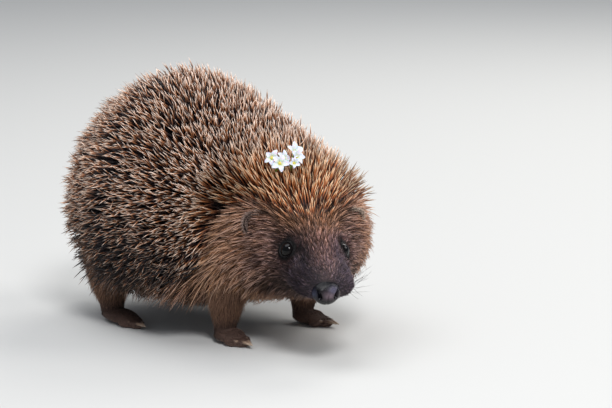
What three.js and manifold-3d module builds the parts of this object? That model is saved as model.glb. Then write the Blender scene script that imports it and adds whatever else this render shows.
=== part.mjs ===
// A European hedgehog standing on its four feet, with its head turned to its right.
//
// Millimetres, +Z up. The trunk runs along Y and faces -Y, so the animal's right side is -X.
// The head, neck, trunk and rump are one form, lofted along the line of the backbone over the
// tips of the spines and fur, and parted by thin plane cuts. The jaw, nose, eyes, ears, legs,
// feet and tail are fitted to that form with a small gap. A sprig of white flowers lies in the
// spines of the crown.

import * as THREE from "three";
import { mergeVertices } from "three/addons/utils/BufferGeometryUtils.js";
import Module from "manifold-3d";

const wasm = await Module();
wasm.setup();

const { degToRad, lerp, clamp } = THREE.MathUtils;

// ---------------------------------------------------------------- driving dimensions

const GAP = 0.3; // left between neighbouring pieces

// Sections of the coat, from the nose tip back along the spine: how far along, half the width,
// and the heights above the floor of the back, the widest level and the underside.
const SECTIONS = [
  { name: "nose tip", at: 0, half: 0, back: 37.5, widest: 37.5, under: 37.5 },
  { name: "nose", at: 3, half: 9, back: 46.5, widest: 37, under: 32.5 },
  { name: "muzzle", at: 12.5, half: 15, back: 53.5, widest: 40, under: 31 },
  { name: "eyes", at: 23, half: 16.8, back: 61, widest: 44, under: 29.5 },
  { name: "brow", at: 31.5, half: 20.7, back: 66.5, widest: 47.5, under: 28 },
  { name: "ears", at: 44, half: 31.4, back: 77.5, widest: 50, under: 24 },
  { name: "nape", at: 61, half: 44, back: 89, widest: 52, under: 20 },
  { name: "shoulders", at: 82, half: 50.5, back: 101, widest: 53.5, under: 15.5 },
  { name: "ribs", at: 109, half: 58.5, back: 117.5, widest: 53.5, under: 12 },
  { name: "loins", at: 136, half: 58.5, back: 125.5, widest: 53, under: 10.5 },
  { name: "haunches", at: 162, half: 50.5, back: 116.5, widest: 52.5, under: 12 },
  { name: "rump", at: 183, half: 36.5, back: 99.5, widest: 53, under: 16.5 },
  { name: "tail root", at: 195, half: 20, back: 81, widest: 53, under: 27 },
  { name: "end", at: 201.5, half: 0, back: 54, widest: 54, under: 54 },
];
const BODY_LENGTH = SECTIONS.at(-1).at;
const HEAD_TURN = degToRad(36.6);
const NECK_BEND = { from: 32, to: 100 }; // where the spine straightens behind the head
const MIDDLE = 126; // the station that stands over the middle of the feet
const SQUARENESS = { brow: 0.6, back: 0.15, belly: 0.7 }; // added to an ellipse's power of 2

// Where the body is parted, in distance from the nose tip.
const PARTS = { head: [0, 56], neck: [56, 78], trunk: [78, 160], rump: [160, BODY_LENGTH] };

// The jaw is what lies below the lips, from just behind the nose to the corner of the mouth.
const JAW = { tip: 4.5, corner: 27, lipAtTip: 35.2, lipAtCorner: 38.6, rounding: 3, chin: 15 };
const NOSE = { at: 2.8, height: 37.4, halfWidth: 6.5, halfHeight: 5.6, halfDepth: 4.7 };
const NOSTRIL = { side: 3.5, radius: 1.25, length: 2.2, setBack: 3.4, rise: 0 };
const EYE = { at: 23.9, angle: 32.5, radius: 3.5, shows: 1.85 };
// An ear leans outwards, backwards and up by these shares, and its hollow faces forward and out.
const EAR = {
  at: 44, angle: 30, width: 13.5, height: 18, depth: 8.5, wall: 1.3, shows: 3,
  leans: { out: 0.75, back: 0.45, up: 0.35 }, facesOut: 0.6, hollowAhead: 2.5,
};
const TAIL = { at: 183, height: 27, length: 23, radius: 4.2, tip: 1.2, droop: 46 };

const LEG_TOP = 42; // well inside the body, which trims the leg
const ANKLE = 9; // the height at which a leg and its foot are parted
const FORE = {
  at: 84, side: 27, toeOut: 8, thigh: 12, ankle: 6.2, lean: -4,
  palm: { width: 16, length: 19, height: 9 }, toe: { length: 9, radius: 2.3 }, claw: 5.5,
};
const HIND = {
  at: 158, side: 30, toeOut: 14, thigh: 15, ankle: 6.8, lean: 3,
  palm: { width: 15, length: 30, height: 9 }, toe: { length: 9, radius: 2.3 }, claw: 5,
};
// Shares of the palm's or toe's own size: the palm reaches ahead of the ankle and its underside
// is cut flat, and the outer toes are set back, shorter and turned outwards.
const PALM = { ahead: 0.22, middleHeight: 0.42 };
const TOES = { count: 5, spread: 0.36, ahead: 0.42, outerBack: 0.16, outerShorter: 0.28, fan: 26 };
const CLAW = { root: 1, tip: 0.35, droop: 0.2, ahead: 0.42 };

const PETAL = { count: 5, length: 4.6, width: 2.6, thickness: 1.1, cup: 28 };
const BUTTON = { radius: 1.1, height: 2 }; // the middle of a floret
const STALK = { radius: 0.4, length: 3.4 };
const STEM = { radius: 0.45, length: 5, middleHeight: 1.2 };
const HUB = { radius: 3.4, height: 1.4, rise: 2.6 }; // where the stalks leave the stem
// Florets on a sprig: two side by side and one behind them, each facing a little outwards.
const FLORETS = [
  { x: -2.6, y: -1.5, pitch: 20, lean: -30 },
  { x: 2.6, y: -1.5, pitch: 20, lean: 30 },
  { x: 0, y: 2.9, pitch: -20, lean: 0 },
];
const FLORET_RISE = 4.6;
const SPRIGS = {
  right: { at: 57.5, angle: 98, yaw: -20 },
  left: { at: 59.5, angle: 88, yaw: 38 },
};

const BEYOND = 200; // longer than anything it cuts

// Facets, few enough to keep the solids light.
const RINGS = 32;
const RING_POINTS = 32;

// ---------------------------------------------------------------- the body's form

const smooth = (from, to, value) => {
  const t = clamp((value - from) / (to - from), 0, 1);
  return t * t * (3 - 2 * t);
};

// Distance along the body as 0 to 1, slow at both ends, so that the ends come out round.
const easeOf = (at) => Math.acos(clamp(1 - (2 * at) / BODY_LENGTH, -1, 1)) / Math.PI;
const distanceOf = (ease) => (BODY_LENGTH * (1 - Math.cos(Math.PI * ease))) / 2;

// A monotone cubic through the sections' values of one key: no bulge between two sections.
function throughSections(key) {
  const x = SECTIONS.map((s) => easeOf(s.at));
  const y = SECTIONS.map((s) => s[key]);
  const step = x.slice(1).map((v, i) => v - x[i]);
  const slope = step.map((h, i) => (y[i + 1] - y[i]) / h);
  const tangent = y.map((_, i) => {
    if (i === 0) return slope[0];
    if (i === y.length - 1) return slope.at(-1);
    const [a, b] = [slope[i - 1], slope[i]];
    if (a * b <= 0) return 0;
    const [wa, wb] = [2 * step[i] + step[i - 1], step[i] + 2 * step[i - 1]];
    return (wa + wb) / (wa / a + wb / b);
  });
  return (ease) => {
    const i = clamp(x.findLastIndex((v) => v <= ease), 0, step.length - 1);
    const [h, t] = [step[i], (ease - x[i]) / step[i]];
    return (
      (1 + 2 * t) * (1 - t) ** 2 * y[i] + t * (1 - t) ** 2 * h * tangent[i] +
      t * t * (3 - 2 * t) * y[i + 1] + t * t * (t - 1) * h * tangent[i + 1]
    );
  };
}
const section = Object.fromEntries(
  ["half", "back", "widest", "under"].map((key) => [key, throughSections(key)]),
);

// The backbone seen from above, walked from the nose back: turned at the head, straight behind.
const STEP = 0.5;
const turnAt = (at) => HEAD_TURN * (1 - smooth(NECK_BEND.from, NECK_BEND.to, at));
const walked = [new THREE.Vector2(0, 0)];
for (let at = STEP; at <= BODY_LENGTH + STEP; at += STEP) {
  const turn = turnAt(at - STEP / 2);
  const stride = new THREE.Vector2(Math.sin(turn), Math.cos(turn)).multiplyScalar(STEP);
  walked.push(walked.at(-1).clone().add(stride));
}
const walkedTo = (at) => {
  const i = clamp(Math.floor(at / STEP), 0, walked.length - 2);
  return walked[i].clone().lerp(walked[i + 1], at / STEP - i);
};
const middleOfBody = walkedTo(MIDDLE);

// A place given from the spine: distance from the nose tip, offset to the animal's left, height.
function place(at, side, height) {
  const turn = turnAt(at);
  const p = walkedTo(Math.max(at, 0)).sub(middleOfBody);
  const ahead = Math.min(at, 0); // a nose may reach past the tip
  return new THREE.Vector3(
    p.x + Math.cos(turn) * side + Math.sin(turn) * ahead,
    p.y - Math.sin(turn) * side + Math.cos(turn) * ahead,
    height,
  );
}

// A point of the coat. The angle is 0 at the left side, 90 on the back and 180 at the right.
function coat(at, angle, grow = 0) {
  const ease = easeOf(at);
  const [c, s] = [Math.cos(angle), Math.sin(angle)];
  const widest = section.widest(ease);
  const rise = s > 0 ? section.back(ease) - widest : widest - section.under(ease);
  const fade = 1 - smooth(170, BODY_LENGTH, at);
  const brow = SQUARENESS.brow * smooth(30, 48, at) * (1 - smooth(60, 100, at));
  const above = brow + SQUARENESS.back * smooth(60, 100, at) * fade;
  const below = SQUARENESS.belly * smooth(35, 85, at) * fade;
  const power = 2 / (2 + (s > 0 ? above : below));
  const side = (section.half(ease) + grow) * Math.sign(c) * Math.abs(c) ** power;
  const height = (rise + grow) * Math.sign(s) * Math.abs(s) ** power;
  return place(at, side, widest + height);
}

// The coat's outward direction, from two short steps along it.
function outward(at, angle) {
  const along = coat(at + 0.5, angle).sub(coat(at - 0.5, angle));
  const around = coat(at, angle + 0.02).sub(coat(at, angle - 0.02));
  return along.cross(around).normalize();
}

// ---------------------------------------------------------------- solids and meshes

function solidOf(geometry, matrix) {
  const bare = new THREE.BufferGeometry();
  bare.setAttribute("position", geometry.getAttribute("position").clone());
  if (geometry.index) bare.setIndex(geometry.index.clone());
  if (matrix) bare.applyMatrix4(matrix);
  const merged = mergeVertices(bare, 1e-4);
  return new wasm.Manifold(
    new wasm.Mesh({
      numProp: 3,
      vertProperties: new Float32Array(merged.getAttribute("position").array),
      triVerts: new Uint32Array(merged.index.array),
    }),
  );
}

function geometryOf(solid) {
  const { numProp, vertProperties, triVerts } = solid.getMesh();
  const positions = new Float32Array((vertProperties.length / numProp) * 3);
  for (let i = 0; i < positions.length / 3; i++)
    positions.set(vertProperties.subarray(i * numProp, i * numProp + 3), i * 3);
  const geometry = new THREE.BufferGeometry()
    .setAttribute("position", new THREE.BufferAttribute(positions, 3))
    .setIndex(new THREE.BufferAttribute(triVerts, 1));
  geometry.computeVertexNormals();
  return geometry;
}

const join = (solids) => solids.reduce((whole, one) => whole.add(one));

const matrixOf = (position, rotation = new THREE.Euler()) =>
  new THREE.Matrix4().makeRotationFromEuler(rotation).setPosition(position);

// An ellipsoid of the given half sizes, at a place, turned by a matrix that holds its axes.
function ellipsoid(centre, halves, columns = 12, rows = 8, axes = new THREE.Matrix4()) {
  const matrix = new THREE.Matrix4().makeTranslation(centre).multiply(axes).scale(halves);
  return solidOf(new THREE.SphereGeometry(1, columns, rows), matrix);
}

// Rings of points, closed at each end by a fan to that end's centre.
function loft(rings, centres) {
  const count = rings[0].length;
  const points = [centres[0], ...rings.flat(), centres[1]];
  const last = points.length - 1;
  const at = (i, j) => 1 + i * count + (j % count);
  const faces = [];
  for (let j = 0; j < count; j++) {
    faces.push(0, at(0, j + 1), at(0, j), last, at(rings.length - 1, j), at(rings.length - 1, j + 1));
    for (let i = 0; i < rings.length - 1; i++)
      faces.push(at(i, j), at(i, j + 1), at(i + 1, j), at(i + 1, j), at(i, j + 1), at(i + 1, j + 1));
  }
  const geometry = new THREE.BufferGeometry().setFromPoints(points).setIndex(faces);
  const solid = solidOf(geometry);
  return solid.volume() > 0 ? solid : solidOf(geometry.setIndex(faces.toReversed()));
}

// The body from one distance to another. Its cut ends stand half a gap inside the cuts.
function bodyPiece(from, to, grow = 0) {
  const [start, end] = [from > 0 ? from + GAP / 2 : 0, to < BODY_LENGTH ? to - GAP / 2 : BODY_LENGTH];
  const [e0, e1] = [easeOf(start), easeOf(end)];
  const rows = Math.max(4, Math.round(RINGS * (e1 - e0)));
  const rings = [];
  for (let i = start > 0 ? 0 : 1; i <= (end < BODY_LENGTH ? rows : rows - 1); i++) {
    const at = distanceOf(lerp(e0, e1, i / rows));
    rings.push(
      Array.from({ length: RING_POINTS }, (_, j) => coat(at, (2 * Math.PI * j) / RING_POINTS, grow)),
    );
  }
  const centre = (at) => place(at, 0, section.widest(easeOf(at)));
  return loft(rings, [centre(start), centre(end)]);
}

// ---------------------------------------------------------------- materials

const paint = (colour, roughness, metalness = 0) =>
  new THREE.MeshStandardMaterial({ color: colour, roughness, metalness, flatShading: true });
const MATERIALS = {
  spines: paint(0x6f5544, 0.7),
  fur: paint(0x8a6d55, 0.9),
  face: paint(0x5b4a42, 0.9),
  skin: paint(0x4a3a36, 0.7),
  nose: paint(0x1d1a1f, 0.3),
  eye: paint(0x08070a, 0.05),
  petals: paint(0xf2f1ee, 0.6),
};

const hedgehog = new THREE.Group();
function add(name, shape, material, position = new THREE.Vector3(), rotation = new THREE.Euler()) {
  const mesh = new THREE.Mesh(shape.isBufferGeometry ? shape : geometryOf(shape), material);
  mesh.name = name;
  mesh.position.copy(position);
  mesh.rotation.copy(rotation);
  hedgehog.add(mesh);
}

// ---------------------------------------------------------------- head

// Everything below the line of the lips, drawn from the side and carried across the head.
// The drawing's x runs back from the nose tip and its y is height.
function jawBlock(grow) {
  const { tip, corner, rounding, chin } = JAW;
  const [front, back] = [tip - grow, corner + rounding / 2 + grow];
  const [lipFront, lipBack] = [JAW.lipAtTip + grow, JAW.lipAtCorner + grow];
  const shape = new THREE.Shape();
  shape.moveTo(front, chin);
  shape.lineTo(front, lipFront - rounding / 2);
  shape.quadraticCurveTo(front, lipFront, tip + rounding, lipFront);
  shape.lineTo(corner - rounding, lipBack);
  shape.quadraticCurveTo(back, lipBack, back, JAW.lipAtCorner - rounding);
  shape.lineTo(back + rounding, chin);
  const depth = BEYOND / 2;
  const block = new THREE.ExtrudeGeometry(shape, { depth, bevelEnabled: false, curveSegments: 4 });
  const backward = new THREE.Vector3(Math.sin(HEAD_TURN), Math.cos(HEAD_TURN), 0);
  const leftward = new THREE.Vector3(Math.cos(HEAD_TURN), -Math.sin(HEAD_TURN), 0);
  const axes = new THREE.Matrix4().makeBasis(backward, new THREE.Vector3(0, 0, 1), leftward);
  return solidOf(block, axes.setPosition(place(0, -depth / 2, 0)));
}

const headAxes = new THREE.Matrix4().makeRotationZ(-HEAD_TURN);
const noseCentre = place(NOSE.at, 0, NOSE.height);
const noseHalves = (grow) =>
  new THREE.Vector3(NOSE.halfWidth + grow, NOSE.halfDepth + grow, NOSE.halfHeight + grow);

function nose() {
  const pad = ellipsoid(noseCentre, noseHalves(0), 14, 10, headAxes);
  const nostrils = [-1, 1].map((hand) => {
    const { side, radius, length, setBack, rise } = NOSTRIL;
    const mouth = place(NOSE.at - setBack, hand * side, NOSE.height + rise);
    return ellipsoid(mouth, new THREE.Vector3(radius, length, radius * 1.2), 6, 5, headAxes);
  });
  return pad.subtract(join(nostrils));
}

// The angle round the body of something on the left or right side, given above the horizontal.
const sideAngle = (hand, degrees) => degToRad(hand > 0 ? degrees : 180 - degrees);

function eyeCentre(hand) {
  const angle = sideAngle(hand, EYE.angle);
  return coat(EYE.at, angle).addScaledVector(outward(EYE.at, angle), EYE.shows - EYE.radius);
}

// An ear is a bowl whose rim stands out of the coat. Its axes are its width, the way its hollow
// faces, and its height.
function earForm(hand, grow) {
  const angle = sideAngle(hand, EAR.angle);
  const root = coat(EAR.at, angle);
  const out = outward(EAR.at, angle);
  const back = coat(EAR.at + 3, angle).sub(root).normalize();
  const tall = out.clone().multiplyScalar(EAR.leans.out).addScaledVector(back, EAR.leans.back);
  tall.z += EAR.leans.up;
  tall.normalize();
  const facing = out.multiplyScalar(EAR.facesOut).sub(back);
  facing.addScaledVector(tall, -facing.dot(tall)).normalize();
  const wide = new THREE.Vector3().crossVectors(facing, tall);
  const axes = new THREE.Matrix4().makeBasis(wide, facing, tall);
  const centre = root.addScaledVector(tall, EAR.shows - EAR.height / 2);
  const halves = new THREE.Vector3(EAR.width, EAR.depth, EAR.height).multiplyScalar(0.5).addScalar(grow);
  return { axes, centre, halves, facing };
}
function ear(hand) {
  const { axes, centre, halves, facing } = earForm(hand, 0);
  const bowl = ellipsoid(centre, halves, 12, 8, axes);
  const middleOfHollow = centre.clone().addScaledVector(facing, EAR.hollowAhead);
  return bowl.subtract(ellipsoid(middleOfHollow, halves.clone().subScalar(EAR.wall), 12, 8, axes));
}
function earPocket(hand) {
  const { axes, centre, halves } = earForm(hand, GAP);
  return ellipsoid(centre, halves, 12, 8, axes);
}

// ---------------------------------------------------------------- legs and feet

// One toe and its claw. Sideways runs from -1 to 1 across the foot.
function toeAndClaw(sideways, palmMiddle, { palm, toe, claw }) {
  const outer = sideways ** 2;
  const half = (toe.length * (1 - TOES.outerShorter * outer)) / 2;
  const turned = new THREE.Matrix4().makeRotationZ(-degToRad(TOES.fan) * sideways);
  const ahead = new THREE.Vector3(0, -1, 0).applyMatrix4(turned);
  const root = new THREE.Vector3(
    sideways * palm.width * TOES.spread,
    palmMiddle.y - palm.length * (TOES.ahead - TOES.outerBack * outer),
    toe.radius * 0.85,
  );
  const middleOfToe = root.addScaledVector(ahead, half * 0.6);
  const toeHalves = new THREE.Vector3(toe.radius, half, toe.radius);
  const nail = new THREE.CylinderGeometry(CLAW.tip, CLAW.root, claw, 4).rotateX(Math.PI + CLAW.droop);
  const middleOfNail = middleOfToe.clone().addScaledVector(ahead, half * 0.75 + claw * CLAW.ahead);
  return ellipsoid(middleOfToe, toeHalves, 6, 4, turned).add(
    solidOf(nail, turned.clone().setPosition(middleOfNail)),
  );
}

// A leg and its foot as one form, standing at the origin with the toes towards -Y.
function wholeLeg(measures) {
  const { thigh, ankle, lean, palm } = measures;
  const length = LEG_TOP - ANKLE / 2;
  const shin = new THREE.CylinderGeometry(thigh, ankle, length, 12);
  shin.rotateX(Math.PI / 2).translate(0, 0, LEG_TOP - length / 2);
  const leaning = new THREE.Matrix4().makeShear(0, 0, 0, 0, 0, lean / LEG_TOP);
  const palmMiddle = new THREE.Vector3(0, -palm.length * PALM.ahead, palm.height * PALM.middleHeight);
  const palmHalves = new THREE.Vector3(palm.width, palm.length, palm.height).multiplyScalar(0.5);
  const toes = Array.from({ length: TOES.count }, (_, i) =>
    toeAndClaw((2 * i) / (TOES.count - 1) - 1, palmMiddle, measures),
  );
  return join([solidOf(shin, leaning), ellipsoid(palmMiddle, palmHalves, 12, 6), ...toes]);
}

// A block of everything between two heights.
const layer = (low, high) =>
  solidOf(new THREE.BoxGeometry(BEYOND, BEYOND, high - low).translate(0, 0, (low + high) / 2));

function addLeg(name, hand, measures, body) {
  const whole = wholeLeg(measures);
  const stance = place(measures.at, hand * measures.side, 0);
  const turn = new THREE.Euler(0, 0, hand * degToRad(measures.toeOut) - turnAt(measures.at));
  const foot = whole.intersect(layer(0, ANKLE - GAP / 2));
  add(`foot_${name}`, foot, MATERIALS.skin, stance, turn);
  const upper = geometryOf(whole.intersect(layer(ANKLE + GAP / 2, LEG_TOP)));
  add(`leg_${name}`, solidOf(upper, matrixOf(stance, turn)).subtract(body), MATERIALS.fur);
}

function tail(body) {
  const from = place(TAIL.at, 0, TAIL.height);
  const cone = new THREE.CylinderGeometry(TAIL.tip, TAIL.radius, TAIL.length, 12);
  cone.translate(0, TAIL.length / 2, 0).rotateX(-degToRad(TAIL.droop));
  return solidOf(cone, matrixOf(from)).subtract(body);
}

// ---------------------------------------------------------------- flowers

// A round rod along Z, about a middle height.
const rod = ({ radius, length }, middleHeight) =>
  solidOf(
    new THREE.CylinderGeometry(radius, radius, length, 5).rotateX(Math.PI / 2).translate(0, 0, middleHeight),
  );

// One floret facing +Z on a short stalk: petals, pointed at both ends, round a button.
function floret(matrix) {
  const { radius, height } = BUTTON;
  const pieces = [ellipsoid(new THREE.Vector3(), new THREE.Vector3(radius, radius, height / 2), 6, 3)];
  for (let i = 0; i < PETAL.count; i++) {
    const axes = new THREE.Matrix4()
      .makeRotationZ((2 * Math.PI * i) / PETAL.count)
      .multiply(new THREE.Matrix4().makeRotationY(-degToRad(PETAL.cup)));
    const centre = new THREE.Vector3(PETAL.length * 0.55, 0, 0).applyMatrix4(axes);
    const halves = new THREE.Vector3(PETAL.length, PETAL.width, PETAL.thickness).multiplyScalar(0.5);
    pieces.push(ellipsoid(centre, halves, 4, 2, axes));
  }
  pieces.push(rod(STALK, -STALK.length / 2));
  return solidOf(geometryOf(join(pieces)), matrix);
}

// A few florets on one stem, standing on the coat.
function sprig({ at, angle, yaw }, body) {
  const up = new THREE.Vector3(0, 0, 1);
  const upright = new THREE.Quaternion().setFromUnitVectors(up, outward(at, degToRad(angle)));
  const frame = new THREE.Matrix4()
    .makeRotationFromQuaternion(upright)
    .multiply(new THREE.Matrix4().makeRotationZ(degToRad(yaw)))
    .setPosition(coat(at, degToRad(angle)));
  const florets = FLORETS.map(({ x, y, pitch, lean }) => {
    const turn = new THREE.Euler(degToRad(pitch), degToRad(lean), 0);
    return floret(frame.clone().multiply(matrixOf(new THREE.Vector3(x, y, FLORET_RISE), turn)));
  });
  const hubHalves = new THREE.Vector3(HUB.radius, HUB.radius, HUB.height / 2);
  const hub = ellipsoid(new THREE.Vector3(0, 0, HUB.rise), hubHalves, 8, 3);
  const base = solidOf(geometryOf(hub.add(rod(STEM, STEM.middleHeight))), frame);
  return join([base, ...florets]).subtract(body);
}

// ---------------------------------------------------------------- the whole animal

const HANDS = { right: -1, left: 1 };
const grownBody = bodyPiece(0, BODY_LENGTH, GAP);

const eyeSockets = Object.values(HANDS).map((hand) =>
  ellipsoid(eyeCentre(hand), new THREE.Vector3().setScalar(EYE.radius + GAP)),
);
const hollows = join([
  ...eyeSockets,
  ...Object.values(HANDS).map(earPocket),
  ellipsoid(noseCentre, noseHalves(GAP), 14, 10, headAxes),
]);
const wholeHead = bodyPiece(...PARTS.head).subtract(hollows);
add("head", wholeHead.subtract(jawBlock(GAP / 2)), MATERIALS.face);
add("jaw", wholeHead.intersect(jawBlock(-GAP / 2)), MATERIALS.face);
add("nose", nose(), MATERIALS.nose);
add("neck", bodyPiece(...PARTS.neck), MATERIALS.spines);
add("trunk", bodyPiece(...PARTS.trunk), MATERIALS.spines);
add("rump", bodyPiece(...PARTS.rump), MATERIALS.spines);
add("tail", tail(grownBody), MATERIALS.skin);

for (const [name, hand] of Object.entries(HANDS)) {
  add(`eye_${name}`, new THREE.SphereGeometry(EYE.radius, 12, 8), MATERIALS.eye, eyeCentre(hand));
  add(`ear_${name}`, ear(hand), MATERIALS.skin);
  addLeg(`front_${name}`, hand, FORE, grownBody);
  addLeg(`hind_${name}`, hand, HIND, grownBody);
  add(`flower_${name}`, sprig(SPRIGS[name], grownBody), MATERIALS.petals);
}

// The origin is under the middle of the whole animal, on the floor.
const bounds = new THREE.Box3().setFromObject(hedgehog);
const centre = bounds.getCenter(new THREE.Vector3());
hedgehog.position.set(-centre.x, -centre.y, -bounds.min.z);

export default hedgehog;
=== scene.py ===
# %% [markdown]
# # A European hedgehog, made in Blender
# The animal stands on its four feet and turns its head to its right. Most of what one sees of a
# hedgehog is coat: several thousand stiff spines over the back, and coarse fur over the face, the
# sides and the belly. So the lesson goes from the inside out. It makes one skin, then eyes, nose
# and claws, then a coat of solid spines and tufts of fur that grows out of the skin.
#
# The CAD model is loaded first. It is a smooth form out to the tips of the coat, and every size
# here is fitted to it. All lengths are in metres, so millimetres are written as 3 * mm.

# %% Load the frame
import bpy
import numpy as np
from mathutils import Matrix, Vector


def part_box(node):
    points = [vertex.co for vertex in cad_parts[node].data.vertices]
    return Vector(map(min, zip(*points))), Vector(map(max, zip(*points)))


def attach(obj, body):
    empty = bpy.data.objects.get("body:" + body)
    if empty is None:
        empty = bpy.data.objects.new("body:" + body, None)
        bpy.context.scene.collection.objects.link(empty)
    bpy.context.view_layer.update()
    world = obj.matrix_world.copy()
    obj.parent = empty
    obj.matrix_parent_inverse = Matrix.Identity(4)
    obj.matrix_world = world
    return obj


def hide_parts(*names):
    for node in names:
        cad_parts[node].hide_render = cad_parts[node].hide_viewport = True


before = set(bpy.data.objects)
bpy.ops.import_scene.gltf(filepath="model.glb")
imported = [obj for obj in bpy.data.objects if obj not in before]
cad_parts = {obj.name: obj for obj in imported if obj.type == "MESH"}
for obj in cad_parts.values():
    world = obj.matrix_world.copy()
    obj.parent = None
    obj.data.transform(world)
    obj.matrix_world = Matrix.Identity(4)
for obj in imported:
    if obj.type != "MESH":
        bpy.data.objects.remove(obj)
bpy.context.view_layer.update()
mm = 0.001
rng = np.random.default_rng(12)

# %% [markdown]
# ## Small helpers
# A mesh in Blender is three lists: points, corners and faces. Filling them from numpy arrays with
# foreach_set is hundreds of times faster than one call for each point, which matters for a coat
# of a million faces. A face list holds either triangles or quads, so each piece may have several.

# %% Helpers
def smooth(start, end, value):
    """0 before start, 1 after end, and an even S-curve between them."""
    t = np.clip((value - start) / (end - start), 0, 1)
    return t * t * (3 - 2 * t)


def mix(a, b, share):
    """a where share is 0 and b where it is 1."""
    return a + (b - a) * share


def unit(v):
    """The same directions with a length of 1."""
    return v / np.maximum(np.linalg.norm(v, axis=-1, keepdims=True), 1e-12)


def dot(a, b):
    """Each pair's dot product, kept as a column."""
    return (a * b).sum(-1, keepdims=True)


def travelled(line):
    """Millimetres along a line of points, up to each of them."""
    return np.concatenate([[0], np.cumsum(np.linalg.norm(np.diff(line, axis=0), axis=1))]) / mm


def paint(red, green, blue):
    """A colour given as on a paint chart, 0 to 255, as the linear numbers that light adds up in."""
    c = np.array([red, green, blue]) / 255
    return np.where(c <= 0.04045, c / 12.92, ((c + 0.055) / 1.055) ** 2.4)


def new_piece(name, points, faces, material, slot, shades=None, patches=None):
    """A mesh object from points (N, 3) and lists of faces (M, 3) or (M, 4), which rides the root.

    shades are named values at each point, either numbers or colours. patches places each point on
    a map, the OFBake layer.
    """
    mesh = bpy.data.meshes.new(name)
    corners = np.concatenate([f.ravel() for f in faces]).astype(np.int32)
    sizes = np.concatenate([np.full(len(f), f.shape[1]) for f in faces])
    mesh.vertices.add(len(points))
    mesh.vertices.foreach_set("co", np.asarray(points, np.float32).ravel())
    mesh.loops.add(len(corners))
    mesh.loops.foreach_set("vertex_index", corners)
    mesh.polygons.add(len(sizes))
    mesh.polygons.foreach_set("loop_start", (np.cumsum(sizes) - sizes).astype(np.int32))
    mesh.update(calc_edges=True)
    mesh.validate()
    mesh.shade_smooth()
    for title, values in (shades or {}).items():
        if values.ndim == 1:
            mesh.attributes.new(title, "FLOAT", "POINT").data.foreach_set("value", values)
        else:
            rgba = np.concatenate([values, np.ones((len(values), 1))], 1)
            mesh.attributes.new(title, "FLOAT_COLOR", "POINT").data.foreach_set("color", rgba.ravel())
    if patches is not None:
        mesh.uv_layers.new(name="OFBake").data.foreach_set("uv", patches[corners].ravel())
    mesh.materials.append(material)
    piece = bpy.data.objects.new(name, mesh)
    bpy.context.scene.collection.objects.link(piece)
    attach(piece, "root")
    print(f"{name}: {len(points)} points, {int((sizes - 2).sum())} triangles")
    return piece


def grid_faces(rows, columns):
    """Quads over a grid whose columns go all the way round, for points stored row by row."""
    i, j = np.meshgrid(np.arange(rows - 1), np.arange(columns), indexing="ij")
    a, b = i * columns + j, i * columns + (j + 1) % columns
    return np.stack([a, a + columns, b + columns, b], -1).reshape(-1, 4)


def closed_grid(grid, poles):
    """Points and faces of a closed surface: a grid that goes round, and a point at each end."""
    rows, columns = grid.shape[:2]
    points = np.concatenate([grid.reshape(-1, 3), np.asarray(poles)])
    last_row, pole = (rows - 1) * columns, rows * columns
    j = np.arange(columns)
    k = (j + 1) % columns
    first_cap = np.stack([np.full(columns, pole), j, k], 1)
    last_cap = np.stack([np.full(columns, pole + 1), last_row + k, last_row + j], 1)
    return points, [grid_faces(rows, columns), np.concatenate([first_cap, last_cap])]


def facing_out(points, faces):
    """A closed shape with its faces turned outwards: the volume that they enclose is made positive."""
    volume = 0
    for corners in (points[f] for f in faces):
        for k in range(1, corners.shape[1] - 1):  # a face is a fan of triangles from its first corner
            volume += (corners[:, 0] * np.cross(corners[:, k], corners[:, k + 1])).sum()
    return points, [f if volume > 0 else f[:, ::-1] for f in faces]


def joined(shapes):
    """Several (points, faces) shapes as one."""
    firsts = np.cumsum([0] + [len(points) for points, _ in shapes])
    faces = [f + first for (_, own_faces), first in zip(shapes, firsts) for f in own_faces]
    return np.concatenate([points for points, _ in shapes]), faces


def shares_along(ring_places, facets, count):
    """The place along itself of each point of count like forms: their rings, then their two ends."""
    return np.tile(np.concatenate([np.repeat(ring_places, facets), [0, 1]]), count)


# %% [markdown]
# ## The body's form
# Seen from above, the backbone runs straight through the trunk and bends to the right at the
# neck. Across it, each section is an egg: half a width, and three heights above the floor. A
# curve that never overshoots carries each of those four sizes from section to section. This is
# the same form as the CAD model's, so the coat that grows inside it fits.
#
# A place on the body is given by two numbers: how far back from the nose tip it lies, in
# millimetres, and how far round it lies, as an angle from the middle of the back, positive on
# the animal's right.

# %% Sections of the coat
# back from the nose, half the width, and the height of the back, the widest level, the underside
sections = np.array([
    [0, 0, 37.5, 37.5, 37.5],  # nose tip
    [3, 9, 46.5, 37, 32.5],
    [12.5, 15, 53.5, 40, 31],  # muzzle
    [23, 16.8, 61, 44, 29.5],  # eyes
    [31.5, 20.7, 66.5, 47.5, 28],
    [44, 31.4, 77.5, 50, 24],  # ears
    [61, 44, 89, 52, 20],  # nape
    [82, 50.5, 101, 53.5, 15.5],  # shoulders
    [109, 58.5, 117.5, 53.5, 12],
    [136, 58.5, 125.5, 53, 10.5],  # loins
    [162, 50.5, 116.5, 52.5, 12],
    [183, 36.5, 99.5, 53, 16.5],  # rump
    [195, 20, 81, 53, 27],
    [201.5, 0, 54, 54, 54],  # end
])
body_length = sections[-1, 0]
nose_level, rump_level = sections[0, 2], sections[-1, 2]
head_turn = np.radians(36.6)
neck_bend = (32, 100)  # where the backbone straightens behind the head
middle = 126  # the section over the middle of the feet


def ease_of(at):
    """Distance back as 0 to 1, slow at both ends, so that the ends come out round."""
    return np.arccos(np.clip(1 - 2 * at / body_length, -1, 1)) / np.pi


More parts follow.
